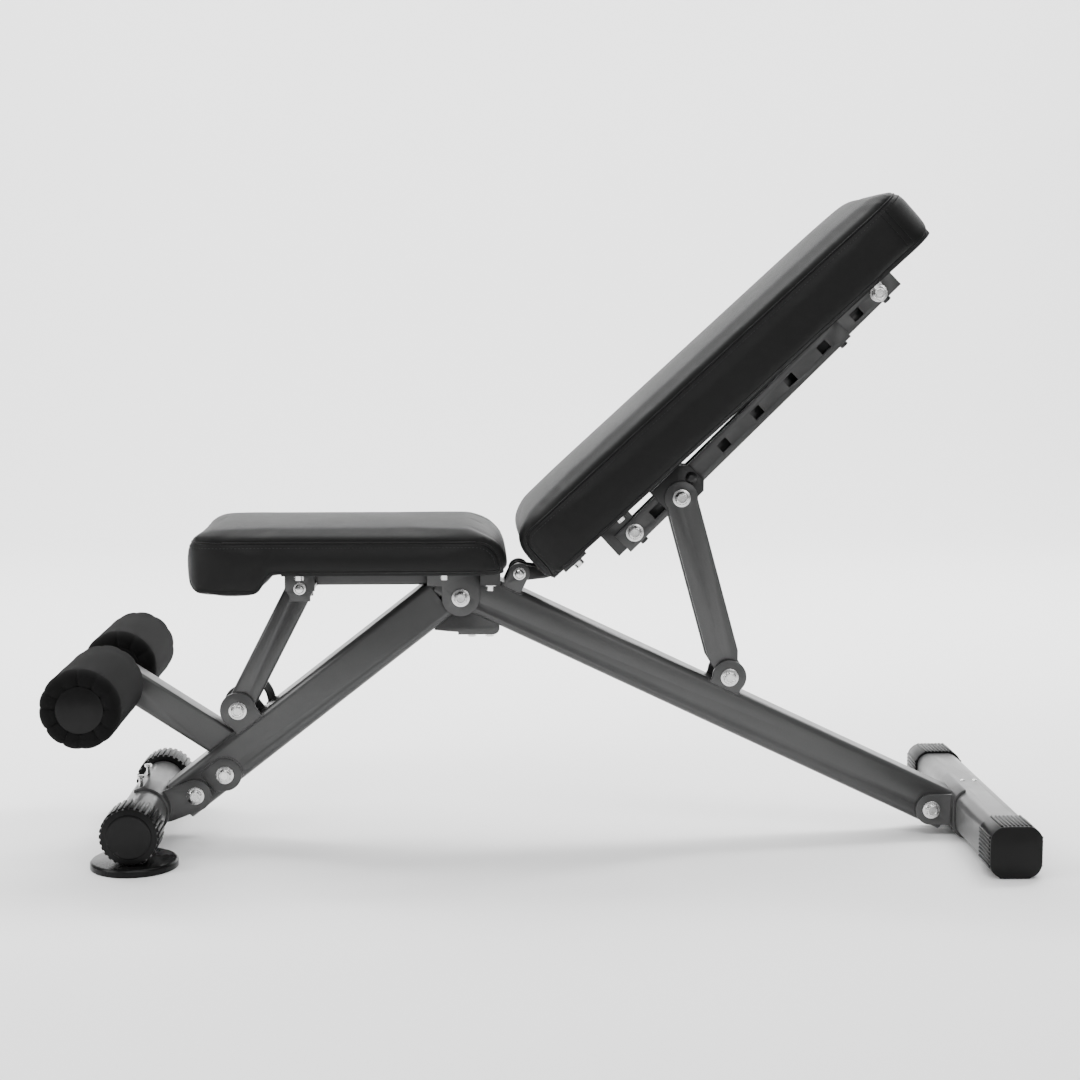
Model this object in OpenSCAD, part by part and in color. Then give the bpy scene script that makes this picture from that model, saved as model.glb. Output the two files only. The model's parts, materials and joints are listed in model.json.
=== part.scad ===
// Adjustable weight bench: a bolted two-leg frame, a fixed seat and a backrest
// that reclines on a ladder rail, with a foam leg roller at the front.
// X runs to the rear, Y across, Z up. The origin is on the floor, under the
// middle of the bench.

/* [Overall] */
// Height of the main pivot above the floor
pivot_height = 360; // [310:1:440]
// Main pivot to the front foot tube, along the floor
front_reach = 457; // [400:1:560]
// Main pivot to the rear foot tube, along the floor
rear_reach = 756; // [640:1:920]
// Backrest cushion above the horizontal
back_angle = 42.5; // [36:0.5:44]

/* [Legs] */
// Depth of a leg tube, seen from the side
leg_depth = 60; // [50:1:72]
// Width of a leg tube, across the bench
leg_width = 60; // [54:1:72]
// Wall of the leg tubes
leg_wall = 2.5; // [1.5:0.1:4]
// Corner radius of the leg tubes
leg_corner = 10; // [5:0.5:12]
// Main pivot to the leg axes, square to the legs
pivot_offset = 16; // [12:0.5:20]
// Thickness of bracket plates
plate = 5; // [3:0.5:6]

/* [Front foot] */
// Width of the front foot over its caps
front_foot_width = 368; // [300:1:450]
// Outer diameter of the front foot tube
front_foot_diameter = 63; // [52:1:70]
// Outer diameter of the ribbed front caps
front_cap_diameter = 83; // [76:1:95]
// Length of a front cap
front_cap_length = 52; // [40:1:64]
// Diameter of the near floor disc
floor_disc_diameter = 122; // [98:1:146]
// Thickness of a floor disc
floor_disc_thickness = 11; // [8:0.5:14]

/* [Rear foot] */
// Width of the rear foot over its caps
rear_foot_width = 506; // [420:1:606]
// Side of the rounded square rear foot tube
rear_foot_side = 66; // [54:1:67]
// Corner radius of the rear foot tube
rear_foot_corner = 19; // [12:1:23]
// Side of the ribbed rear caps
rear_cap_side = 75; // [73:1:90]
// Length of a rear cap
rear_cap_length = 58; // [45:1:70]

/* [Seat] */
// Length of the seat cushion
seat_length = 451; // [400:1:542]
// Width of both cushions
cushion_width = 266; // [225:1:320]
// Height of the seat cushion above its base
seat_thickness = 60; // [52:1:72]
// Drop of the seat's front nose below its base
seat_nose_drop = 27; // [18:1:32]
// Rear end of the seat cushion, behind the main pivot
seat_rear = 68; // [58:1:70]
// Base of the seat cushion above the main pivot
seat_rise = 45; // [40:1:54]
// Plywood board under each cushion
board = 12; // [9:1:15]

/* [Backrest] */
// Length of the backrest cushion
back_length = 727; // [610:1:870]
// Thickness of the backrest cushion
back_thickness = 87; // [74:1:100]
// Pitch of the ladder windows
window_pitch = 66.5; // [56:0.5:72]
// Depth of the ladder rail
ladder_depth = 33; // [29:0.5:36]
// Width of the ladder rail
ladder_width = 31; // [27:0.5:32]
// Depth of the back strut, seen from the side
back_strut_depth = 45; // [38:1:50]

/* [Leg roller] */
// Diameter of a foam roller
roller_diameter = 109; // [92:1:130]
// Length of a foam roller
roller_length = 195; // [165:1:230]
// Gap between the two rollers
roller_gap = 104; // [96:1:124]
// Length of the roller arm, from the leg to the roller axle
roller_arm_length = 186; // [156:1:225]
// Depth of the roller arm tube
roller_arm_depth = 46; // [38:1:52]

/* [Fasteners] */
// Thread diameter of the frame bolts
bolt = 10; // [8:0.5:12]
// Outer diameter of the large washers
washer = 26; // [22:0.5:28]

/* [Hidden] */
$fn = 64;
fit = 0.08;                 // radial clearance of a turning pin
slack = 0.5;                // side clearance between plates that turn past each other
touch = 0.3;                // clearance between pieces that only lie close
long = 600;                 // longer than any cut has to reach

function along(a) = [cos(a), sin(a)];
function square_to(a) = [-sin(a), cos(a)];
function at(p, a, u, n) = p + u * along(a) + n * square_to(a);
function bearing(p, q) = atan2(q[1] - p[1], q[0] - p[0]);
function arc(c, r, from, to, steps = 8) =
    [for (i = [0 : steps]) c + r * along(from + (to - from) * i / steps)];

// Feet: their tube axes stand as high as the caps and discs make them
front_foot = [-front_reach, floor_disc_thickness + front_cap_diameter / 2];
rear_foot = [rear_reach, rear_cap_side / 2];

// Legs: both axes cross above the main pivot and end beside the foot tubes
pivot = [0, pivot_height];
crown = pivot + [-3, pivot_offset * 1.16];
front_end = front_foot + [70, 26];
rear_end = rear_foot + [-65, 10.5];
front_angle = bearing(front_end, crown);
rear_angle = bearing(crown, rear_end);
front_run = norm(crown - front_end);
rear_run = norm(rear_end - crown);
half = leg_width / 2;
front_foot_bolt = at(front_end, front_angle, -3, -6);
front_plate_bolt = front_foot_bolt + 52.5 * along(front_angle - 3);
rear_foot_bolt = at(rear_end, rear_angle, 3, -7);

// Seat frame
seat_base = pivot_height + seat_rise;
bar = 8;                    // thickness of the flat bars under the seat
bar_half = 62;              // half their length across the bench
rail_depth = 28;
rail_width = 40;
seat_front = seat_rear - seat_length;
bracket_x = seat_front + 152;
bracket_half = 23.5;
bracket_plate_half = 21.5;
saddle_half = [48, 28];     // saddle ahead of and behind the main pivot
seat_pin = [bracket_x, seat_base - 31];
strut_pin = at(front_end, front_angle, 123, leg_depth / 2 + 23);
seat_strut_depth = 39;
inner = half - plate;       // inner face of the welded ears
seat_bolt_y = 45;
rear_bar_x = [28, 57];

// Backrest frame, in its own plane: u along the cushion, n square to it
hinge = pivot + [84.7, 34];
cushion_under = -27;
cushion_start = 27;
ladder_lean = 2.1;
ladder_at = [162, -71];     // lower ladder bolt
ladder_angle = back_angle + ladder_lean;
ladder_low = at(hinge, back_angle, ladder_at[0], ladder_at[1]);
ladder_run = 490;           // between the two ladder bolts
ladder_tail = 24;           // rail past its lower bolt
ladder_head = 32;           // rail past its upper bolt
ladder_wall = 3;
overlap_at = 419;           // where the outer rail ends on its insert
window = [17, 14];
first_window = 114;
window_count = 6;
catch_offset = 31;          // strut head to the catch, up the rail
head_drop = 10.6;           // strut head below the middle of the ladder rail
head_at = first_window - catch_offset;
head_pin = at(ladder_low, ladder_angle, head_at, -head_drop);
foot_pin = at(crown, rear_angle, 415, leg_depth / 2 + 14);
strut_run = norm(head_pin - foot_pin);
strut_angle = bearing(foot_pin, head_pin);
strut_half = inner - slack;
strut_wall = 3;

// Carriage that rides the ladder rail; it floats square to the rail
float_gap = 6;
cheek = 4;
carriage_tail = 27;          // carriage below its pin, along the rail
carriage_nose = 42;          // and above it
catch_diameter = 7;
catch_head = 17;
stud_slot = 16;             // slot in the carriage floor that clears the studs

carriage_inner = ladder_width / 2 + 1;

// Leg roller
arm_angle = 180 - 33.5;
arm_root = at(front_end, front_angle, 73, leg_depth / 2);
arm_width = 38;
arm_wall = 2;
arm_past = 26;              // arm beyond the roller axle
axle_drop = 7;
arm_buried = 38;            // the arm is cut to the leg's surface from here
axle_diameter = 25;
axle = at(arm_root, arm_angle, roller_arm_length, axle_drop);
roller_start = roller_gap / 2;
roller_cap = 64;            // diameter of the roller end discs
roller_cap_thickness = 5;

// The bench is centred over the origin by its longest reaches
front_most = min(axle[0] - roller_diameter / 2, front_foot[0] - floor_disc_diameter / 2);
rear_most = rear_foot[0] + rear_cap_side / 2;
centre_x = (front_most + rear_most) / 2;

// ---- Helpers ----

// Puts children at a point of the side plane, with X turned to an angle
module place(p, a = 0) {
    translate([p[0] - centre_x, 0, p[1]]) rotate([0, -a, 0]) children();
}

// Extrudes a side-plane outline between two Y values
module slab(y0, y1) {
    translate([0, y1, 0]) rotate([90, 0, 0]) linear_extrude(y1 - y0) children();
}

module both_sides() {
    children();
    mirror([0, 1, 0]) children();
}

module plate_pair(inside, thickness) {
    both_sides() slab(inside, inside + thickness) children();
}

module rounded_rect(w, h, r) {
    square([w - 2 * r, h], center = true);
    square([w, h - 2 * r], center = true);
    for (x = [-1, 1], y = [-1, 1])
        translate([x * (w / 2 - r), y * (h / 2 - r)]) circle(r);
}

// Solid bar along X, w across and h deep
module solid_bar(length, w, h, r) {
    rotate([90, 0, 90]) linear_extrude(length) rounded_rect(w, h, r);
}

module box_tube(length, w, h, r, wall) {
    difference() {
        solid_bar(length, w, h, r);
        translate([-1, 0, 0])
            solid_bar(length + 2, w - 2 * wall, h - 2 * wall, max(r - wall, 1));
    }
}

// Round bar across the bench, centred on Y
module cross_pin(d, length) {
    rotate([90, 0, 0]) cylinder(d = d, h = length, center = true);
}

// Flat link with round ends, from p to q in the side plane
module link(p, q, r) {
    for (c = [p, q]) translate(c) circle(r);
    translate(p) rotate(bearing(p, q)) translate([0, -r]) square([norm(q - p), 2 * r]);
}

// Solid shapes of the two legs, for cutting what is welded on them
module front_leg_shape() {
    place(front_end, front_angle) translate([-long / 4, 0, 0])
        solid_bar(front_run + long / 4, leg_width, leg_depth, leg_corner);
}

module rear_leg_shape() {
    place(crown, rear_angle) translate([-leg_depth / 2, 0, 0])
        solid_bar(rear_run + long / 4, leg_width, leg_depth, leg_corner);
}

// ---- Frame ----

front_cut = 34;             // front leg stops this far before the pivot
rear_cut = 28;              // rear leg starts this far before the pivot
leg_tip = 28;               // legs run this far past their foot bolts

module front_leg() color("dimgray") difference() {
    place(front_end, front_angle) translate([-leg_tip, 0, 0])
        box_tube(front_run + leg_tip - front_cut, leg_width, leg_depth, leg_corner, leg_wall);
    place([-long / 2, seat_base - rail_depth - touch]) translate([0, -long / 2, 0]) cube(long);
    place(front_foot_bolt) cross_pin(bolt, long);
    place(front_plate_bolt) cross_pin(bolt, long);
}

module rear_leg() color("dimgray") difference() {
    place(crown, rear_angle) translate([-rear_cut, 0, 0])
        box_tube(rear_run + rear_cut + leg_tip, leg_width, leg_depth, leg_corner, leg_wall);
    place([-long / 2, seat_base - bar - touch]) translate([0, -long / 2, 0]) cube(long);
    place(pivot) cross_pin(bolt, long);
    place(rear_foot_bolt) cross_pin(bolt, long);
    rear_foot_shape(rear_foot_side + 2 * touch, rear_foot_corner + touch, long);
    for (x = knee_bolt_x) place([x, 0]) cylinder(d = knee_bolt, h = knee_bolt_top);
}

// Two plates inside the tubes carry the front leg to the main pivot
module pivot_plates() color("dimgray") {
    inside = half - leg_wall - plate - 2;
    reach = leg_depth / 2 - 5.5;
    difference() {
        plate_pair(inside, plate) translate([-centre_x, 0]) difference() {
            union() {
                translate(front_end) rotate(front_angle)
                    translate([front_run - 110, -reach]) square([85, 2 * reach - 4]);
                translate(pivot) circle(r = 30);
            }
            for (side = [-1, 1]) translate(crown) rotate(rear_angle)
                translate([-rear_cut - 1, side * (reach + long / 2) - long / 2]) square(long);
            translate([-long / 2, seat_base - rail_depth - leg_wall]) square(long);
        }
        place(pivot) cross_pin(bolt, long);
    }
}

// Bent channel under the knee of the frame, bolted up into the rear leg
knee_bolt_x = [16, 42];
knee_bolt = 8;
small_bolt = 6;             // saddle bolts and ladder studs
knee_floor = pivot_height - 56;
knee_bolt_top = pivot_height - 8;
knee_half = 22;

module knee_bracket() color("dimgray") difference() {
    union() {
        plate_pair(knee_half - plate, plate) translate([-centre_x, 0]) polygon(concat(
            [[-38, knee_floor + 7], [-20, knee_floor + 5]],
            arc([47, knee_floor + 9], 9, -90, 0, 6),
            [[56, knee_floor + 50], [-38, knee_floor + 50]]));
        place([-4, knee_floor]) translate([0, -knee_half, 0]) cube([52, 2 * knee_half, plate]);
    }
    front_leg_shape();
    rear_leg_shape();
    for (x = knee_bolt_x) place([x, 0]) cylinder(d = knee_bolt, h = knee_bolt_top);
}

module knee_bolts() color("silver") for (x = knee_bolt_x) place([x, knee_floor]) {
    translate([0, 0, -6]) cylinder(d = 13, h = 6, $fn = 6);
    cylinder(d = knee_bolt, h = knee_bolt_top - knee_floor - 2);
}

// ---- Front foot ----

module front_foot_tube() color("gray") difference() {
    place(front_foot) cross_pin(front_foot_diameter, front_foot_width - 2 * cap_face);
    place(front_foot) cross_pin(front_foot_diameter - 2 * foot_wall, front_foot_width);
    for (y = saddle_bolt_y) place(front_foot) translate([saddle_bolt_x, y, 0])
        cylinder(d = small_bolt, h = front_foot_diameter);
}

foot_wall = 2.5;            // wall of both foot tubes
cap_face = 6;               // thickness of a cap's closed end
front_ribs = 30;
cap_rib = 2.5;              // half the width of a rib, which is also how far it stands out
cap_rim = 3;                // smooth rim at a cap's closed end
cap_core = front_cap_diameter / 2 - cap_rib;

module front_foot_caps() color("black") both_sides() place(front_foot)
    translate([0, -front_foot_width / 2, 0]) rotate([-90, 0, 0]) difference() {
        union() {
            cylinder(r = cap_core, h = front_cap_length);
            translate([0, 0, cap_rim]) linear_extrude(front_cap_length - cap_rim)
                for (i = [0 : front_ribs - 1]) rotate(i * 360 / front_ribs)
                    translate([cap_core - cap_rib, -cap_rib]) square([2 * cap_rib, 2 * cap_rib]);
        }
        translate([0, 0, cap_face]) cylinder(d = front_foot_diameter, h = long);
    }

// Wide disc under the near cap and a small pad under the far one, with bevelled rims
module floor_discs() color("black") for (disc = [[-1, floor_disc_diameter], [1, floor_pad_diameter]])
    place([front_foot[0], 0]) translate([0, disc[0] * floor_disc_y, 0]) {
        cylinder(d = disc[1], h = floor_disc_thickness - disc_bevel);
        translate([0, 0, floor_disc_thickness - disc_bevel])
            cylinder(d1 = disc[1], d2 = disc[1] - 5, h = disc_bevel);
    }

floor_pad_diameter = 76;    // far pad, no wider than its cap
disc_bevel = 3;

floor_disc_y = front_foot_width / 2 - 42;

// Half saddle around the front foot tube with two ears for the leg
saddle_bolt_y = [-38, 30];
saddle_bolt_x = -6;
saddle_bolt_rise = 16;      // shank showing above the tube
saddle_wall = 4;
saddle_length = 102;        // of both foot saddles, along their tubes
foot_ear = 23;              // radius of the saddle ears around their bolts
front_ear_end = [30, 4];    // where the ears run into each tube, from its axis
rear_ear_end = [-30, 2];

module front_foot_saddle() color("dimgray") difference() {
    union() {
        place(front_foot) cross_pin(front_foot_diameter + 2 * saddle_wall, saddle_length);
        plate_pair(half, saddle_wall) translate([-centre_x, 0])
            link(front_foot_bolt, front_foot + front_ear_end, foot_ear);
    }
    place(front_foot) cross_pin(front_foot_diameter, long);
    place(front_foot) translate([-long, -long / 2, -long / 2]) cube([long - 14, long, long]);
    front_leg_shape_end();
    place(front_foot_bolt) cross_pin(bolt, long);
    for (y = saddle_bolt_y) place(front_foot) translate([saddle_bolt_x, y, 0])
        cylinder(d = small_bolt, h = front_foot_diameter);
}

module front_leg_shape_end() {
    place(front_end, front_angle) translate([-leg_tip, 0, 0])
        solid_bar(front_run, leg_width, leg_depth, leg_corner);
}

// Doubling plates on the front leg's sides, around its second bolt
module front_leg_plates() color("dimgray") difference() {
    plate_pair(half, saddle_wall - 1) translate([-centre_x, 0]) difference() {
        union() {
            translate(front_plate_bolt) circle(r = 24);
            translate(front_plate_bolt) rotate(front_angle) translate([-26, -12]) square([34, 36]);
        }
        link(front_foot_bolt, front_foot + front_ear_end, foot_ear + touch);
        translate(front_end) rotate(front_angle)
            translate([0, leg_depth / 2 - leg_corner]) square(long);
    }
    place(front_plate_bolt) cross_pin(bolt, long);
}

module saddle_bolts() color("silver") for (y = saddle_bolt_y) place(front_foot)
    translate([saddle_bolt_x, y, 0]) {
        translate([0, 0, front_foot_diameter / 2 - foot_wall - 1.5])
            cylinder(d = small_bolt, h = saddle_bolt_rise + foot_wall + 1.5);
        translate([0, 0, front_foot_diameter / 2 + saddle_bolt_rise])
            cylinder(d = 11, h = 4, $fn = 6);
    }

// ---- Rear foot ----

module rear_foot_shape(side, corner, length) {
    place(rear_foot) rotate([90, 0, 0])
        linear_extrude(length, center = true) rounded_rect(side, side, corner);
}

module rear_foot_tube() color("gray") difference() {
    rear_foot_shape(rear_foot_side, rear_foot_corner, rear_foot_width - 2 * cap_face);
    rear_foot_shape(rear_foot_side - 2 * foot_wall, rear_foot_corner - foot_wall, rear_foot_width);
    for (x = rivet_x) place(rear_foot) translate([x, rivet_y, 0]) cylinder(d = rivet, h = long);
}

rivet = 4;
rivet_x = [-6, 12];
rivet_y = 20;
rear_ribs = 8;              // ribs along each flat side of a rear cap

module rear_foot_caps() color("black") both_sides() {
    flat = rear_cap_side - 2 * rear_foot_corner;
    difference() {
        place(rear_foot) translate([0, -rear_foot_width / 2, 0]) rotate([-90, 0, 0]) {
            linear_extrude(rear_cap_length)
                rounded_rect(rear_cap_side - 3, rear_cap_side - 3, rear_foot_corner + 2);
            for (a = [0, 90, 180, 270], i = [0 : rear_ribs - 1]) rotate(a)
                translate([rear_cap_side / 2 - 2, (i - (rear_ribs - 1) / 2) * (flat + 8) / rear_ribs, 4])
                    cylinder(r = 2, h = rear_cap_length - 4, $fn = 16);
        }
        rear_foot_shape(rear_foot_side, rear_foot_corner, rear_foot_width - 2 * cap_face);
    }
}

// The ears start a little inside the leg's sides, and the leg's cut trims them
ear_overlap = 1;

module rear_foot_saddle() color("dimgray") difference() {
    union() {
        rear_foot_shape(rear_foot_side + 2 * saddle_wall, rear_foot_corner + saddle_wall, saddle_length);
        plate_pair(half - ear_overlap, saddle_wall + ear_overlap) translate([-centre_x, 0])
            link(rear_foot_bolt, rear_foot + rear_ear_end, foot_ear);
    }
    rear_foot_shape(rear_foot_side, rear_foot_corner, long);
    place(rear_foot) translate([-rear_foot_corner, -long / 2, -long / 2]) cube(long);
    place(crown, rear_angle) translate([-rear_cut, 0, 0])
        solid_bar(rear_run + rear_cut + leg_tip, leg_width, leg_depth, leg_corner);
    place(rear_foot_bolt) cross_pin(bolt, long);
}

module rear_foot_rivets() color("silver") for (x = rivet_x) place(rear_foot)
    translate([x, rivet_y, rear_foot_side / 2]) {
        translate([0, 0, -foot_wall - 2]) cylinder(d = rivet, h = foot_wall + 2);
        cylinder(d1 = 2 * rivet, d2 = 5, h = 1.6);
    }

// ---- Welded ears ----

// Ear on top of a leg whose axis starts at root, around a pin above it. It ends a
// little below the leg's flat top, on the rounded edge.
ear_sink = 4;

module leg_ear(pin, root, angle, r, base) {
    rise = (pin - root) * square_to(angle) - leg_depth / 2 + ear_sink;
    translate([-centre_x, 0]) translate(pin) rotate(angle) intersection() {
        union() {
            circle(r);
            translate([-base / 2, -rise]) square([base, rise]);
        }
        translate([-2 * r, -rise]) square([4 * r, rise + 2 * r]);
    }
}

module strut_ears() color("dimgray") difference() {
    plate_pair(inner, plate) leg_ear(strut_pin, front_end, front_angle, 26, 46);
    front_leg_shape();
    place(strut_pin) cross_pin(bolt, long);
}

module hinge_ears() color("dimgray") difference() {
    plate_pair(inner, plate) leg_ear(hinge, crown, rear_angle, 15, 28);
    rear_leg_shape();
    place(hinge) cross_pin(bolt, long);
}

module back_strut_ears() color("dimgray") difference() {
    plate_pair(inner, plate) leg_ear(foot_pin, crown, rear_angle, 25, 46);
    rear_leg_shape();
    place(foot_pin) cross_pin(bolt, long);
}

// Loop of flat steel behind the far ear, for a resistance band
loop_outer = 50;
loop_band = 12;
loop_thickness = 4.4;       // its outer face stays inside the leg's side

module band_loop() color("dimgray") difference() {
    slab(inner, inner + loop_thickness) translate([-centre_x, 0]) difference() {
        translate(strut_pin) circle(r = loop_outer);
        translate(strut_pin) circle(r = loop_outer - loop_band);
        translate(strut_pin) rotate(70) square(2 * loop_outer);
        translate(strut_pin) rotate(160) square(2 * loop_outer);
        translate(strut_pin) rotate(230) square(2 * loop_outer);
    }
    front_leg_shape();
}

// ---- Seat ----

module seat_strut() color("dimgray") {
    y = inner - slack;
    run = norm(seat_pin - strut_pin);
    end_radius = seat_strut_depth / 2 + 1;
    place(strut_pin, bearing(strut_pin, seat_pin)) difference() {
        intersection() {
            translate([-long / 2, 0, 0]) box_tube(long, 2 * y, seat_strut_depth, 5, 2);
            union() {
                cross_pin(2 * end_radius, long);
                translate([run, 0, 0]) cross_pin(2 * end_radius, long);
                translate([0, -long / 2, -seat_strut_depth]) cube([run, long, 2 * seat_strut_depth]);
            }
        }
        cross_pin(bolt, long);
        translate([run, 0, 0]) cross_pin(bolt, long);
    }
}

module seat_front_bracket() color("dimgray") difference() {
    plate_pair(inner, plate) translate([-centre_x, 0]) {
        translate(seat_pin) circle(r = 19);
        translate([bracket_x - bracket_plate_half, seat_pin[1] - 4])
            square([2 * bracket_plate_half, seat_base - bar - seat_pin[1] + 4]);
        translate([bracket_x - 15, seat_pin[1] - 19]) square([30, 19]);
    }
    place(seat_pin) cross_pin(bolt, long);
}

module seat_bar_plate(x0, x1, y) {
    place([x0, seat_base - bar]) translate([0, -y, 0]) cube([x1 - x0, 2 * y, bar]);
}

module seat_bolt_holes(x, d) {
    both_sides() place([x, seat_base - long / 2]) translate([0, seat_bolt_y, 0])
        cylinder(d = d, h = long);
}

module seat_front_bar() color("dimgray") difference() {
    seat_bar_plate(bracket_x - bracket_half, bracket_x + bracket_half, bar_half);
    seat_bolt_holes(bracket_x, board_bolt);
}

module seat_rail() color("dimgray")
    place([bracket_x + bracket_half, seat_base - rail_depth / 2])
        box_tube(-bracket_x - bracket_half - saddle_half[0], rail_width, rail_depth, 4, 2);

// Inverted saddle over the knee of the frame, its ears on the main pivot
module seat_saddle() color("dimgray") difference() {
    union() {
        seat_bar_plate(-saddle_half[0], saddle_half[1] - 4, bar_half);
        plate_pair(half + touch, plate) translate([-centre_x, 0]) {
            translate(pivot) circle(r = 27);
            translate([-27, pivot_height]) square([54, seat_rise - bar]);
            translate([-saddle_half[0], seat_base - rail_depth])
                square([saddle_half[0], rail_depth - bar]);
        }
    }
    place(pivot) cross_pin(bolt, long);
    seat_bolt_holes(seat_mid_bolt, board_bolt);
}

seat_mid_bolt = -23;
spacer = 16;

module seat_rear_bar() color("black") difference() {
    union() {
        seat_bar_plate(rear_bar_x[0], rear_bar_x[1], bar_half);
        both_sides() place([rear_bar_x[0], seat_base - bar - spacer])
            translate([0, half + 3, 0]) cube([rear_bar_x[1] - rear_bar_x[0], 24, spacer]);
    }
    seat_bolt_holes(seat_rear_bolt, board_bolt);
}

seat_rear_bolt = (rear_bar_x[0] + rear_bar_x[1]) / 2;

// Bolt from below, its washer against an underside at z = 0
board_bolt = 8;
board_bolt_short = 4;       // a bolt ends this far below the top of its board

module cushion_bolt(length) {
    translate([0, 0, -2]) cylinder(d = 18, h = 2);
    translate([0, 0, -9]) cylinder(d = 14, h = 7, $fn = 6);
    cylinder(d = board_bolt, h = length);
}

module seat_bolts() color("silver") both_sides() {
    for (x = [bracket_x, seat_mid_bolt]) place([x, seat_base - bar])
        translate([0, seat_bolt_y, 0]) cushion_bolt(bar + board - board_bolt_short);
    place([seat_rear_bolt, seat_base - bar - spacer])
        translate([0, seat_bolt_y, 0]) cushion_bolt(spacer + bar + board - board_bolt_short);
}

tee_barrel = 10;
tee_flange = 20;
tee_sink = 3;               // depth of the flange's seat in the board

module tee_nut() difference() {
    union() {
        cylinder(d = tee_barrel, h = board - tee_sink);
        translate([0, 0, board - tee_sink]) cylinder(d = tee_flange, h = 1.5);
    }
    translate([0, 0, -1]) cylinder(d = board_bolt, h = board);
}

module seat_tee_nuts() color("silver") both_sides()
    for (x = [bracket_x, seat_mid_bolt, seat_rear_bolt]) place([x, seat_base])
        translate([0, seat_bolt_y, 0]) tee_nut();

// Outline of the seat seen from the side, nose at the front
module seat_outline() {
    top = seat_base + seat_thickness;
    low = seat_base - seat_nose_drop;
    translate([-centre_x, 0]) polygon(concat(
        arc([seat_front + 14, low + 14], 14, 180, 270),
        arc([seat_front + 96, low + 12], 12, 270, 330),
        arc([seat_front + 128, seat_base - 14], 14, 150, 90),
        arc([seat_rear - 10, seat_base + 10], 10, 270, 360),
        arc([seat_rear - 46, top - 46], 46, 0, 90),
        arc([seat_front + 26, top - 26], 26, 90, 180)));
}

module seat_plan(inset) {
    w = cushion_width - 2 * inset;
    translate([(seat_front + seat_rear) / 2 - centre_x, 0])
        rounded_rect(seat_length - 2 * inset, w, 42 - inset);
}

board_inset = 7;

module seat_board_shape() {
    intersection() {
        place([seat_front + 135, seat_base]) translate([0, -long / 2, 0]) cube([long, long, board]);
        translate([0, 0, seat_base]) linear_extrude(board) seat_plan(board_inset);
    }
}

module seat_board() color("burlywood") difference() {
    seat_board_shape();
    for (x = [bracket_x, seat_mid_bolt, seat_rear_bolt]) {
        seat_bolt_holes(x, tee_barrel);
        both_sides() place([x, seat_base + board - tee_sink]) translate([0, seat_bolt_y, 0])
            cylinder(d = tee_flange, h = tee_sink + 1);
    }
}

module seat_cushion() color("#1c1c1e") difference() {
    intersection() {
        slab(-cushion_width / 2, cushion_width / 2) seat_outline();
        translate([0, 0, seat_base - seat_nose_drop - 1])
            linear_extrude(seat_thickness + seat_nose_drop + 2) seat_plan(0);
    }
    seat_board_shape();
}

// ---- Leg roller ----

module roller_arm() color("dimgray") difference() {
    place(arm_root, arm_angle) translate([-arm_buried, 0, 0])
        box_tube(roller_arm_length + arm_buried + arm_past, arm_width, roller_arm_depth, 5, arm_wall);
    front_leg_shape();
    place(axle) cross_pin(axle_diameter, long);
}

module roller_axle() color("gray") difference() {
    place(axle) cross_pin(axle_diameter, 2 * (roller_start + roller_length) - 12);
    place(axle) cross_pin(axle_diameter - 4, long);
}

collar_diameter = 44;
collar_play = 2;            // between a collar and the roller beside it

module axle_collars() color("black") both_sides() difference() {
    place(axle) translate([0, (arm_width / 2 + roller_start - collar_play) / 2, 0])
        cross_pin(collar_diameter, roller_start - collar_play - arm_width / 2);
    place(axle) cross_pin(axle_diameter, long);
}

foam_lip = 3;               // foam standing out around a disc

// Foam sleeve on its hub, from the collar outwards
module roller_foam() difference() {
    place(axle) translate([0, roller_start + roller_length / 2, 0])
        cross_pin(roller_diameter, roller_length - 2 * roller_cap_thickness + 2 * foam_lip);
    place(axle) cross_pin(axle_diameter + 2 * fit, long);
    for (y = [roller_start, roller_start + roller_length])
        place(axle) translate([0, y, 0]) cross_pin(roller_cap, 2 * roller_cap_thickness);
}

module roller_discs() {
    difference() {
        place(axle) translate([0, roller_start + roller_cap_thickness / 2, 0])
            cross_pin(roller_cap, roller_cap_thickness);
        place(axle) cross_pin(axle_diameter + 2 * fit, long);
    }
    place(axle) translate([0, roller_start + roller_length - roller_cap_thickness / 2, 0])
        cross_pin(roller_cap, roller_cap_thickness);
}

module near_roller() color("#202022") mirror([0, 1, 0]) roller_foam();
module near_roller_discs() color("black") mirror([0, 1, 0]) roller_discs();
module far_roller() color("#202022") roller_foam();
module far_roller_discs() color("black") roller_discs();

// ---- Backrest, drawn in its own plane ----

module on_back() {
    place(hinge, back_angle) children();
}

module on_ladder() {
    place(ladder_low, ladder_angle) children();
}

lug_half = 22;
lug_foot = 13;              // thickness of the lug's foot under the board bolts
lug_pad_start = 52;
lug_plate = [34, 92];       // reach of the lug's plate along the board

module hinge_lug() color("black") on_back() difference() {
    union() {
        plate_pair(lug_half - plate, plate) {
            circle(r = 12);
            polygon([[-7, -9.7], [22, -31], [30, cushion_under - bar], [62, cushion_under - bar],
                     [62, cushion_under - touch], [25, cushion_under - touch], [23, -10], [10, 6.6]]);
        }
        translate([lug_plate[0], -bar_half, cushion_under - bar])
            cube([lug_plate[1] - lug_plate[0], 2 * bar_half, bar]);
        translate([lug_pad_start, -bar_half, cushion_under - lug_foot])
            cube([lug_plate[1] - lug_pad_start, 2 * bar_half, lug_foot]);
        cross_pin(20, 2 * (inner - slack));
    }
    cross_pin(bolt + 2 * fit, long);
    for (y = [-seat_bolt_y, seat_bolt_y]) translate([hinge_bolt_u, y, -long / 2])
        cylinder(d = board_bolt, h = long);
}

hinge_bolt_u = 74;
cushion_end = cushion_start + back_length;

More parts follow.
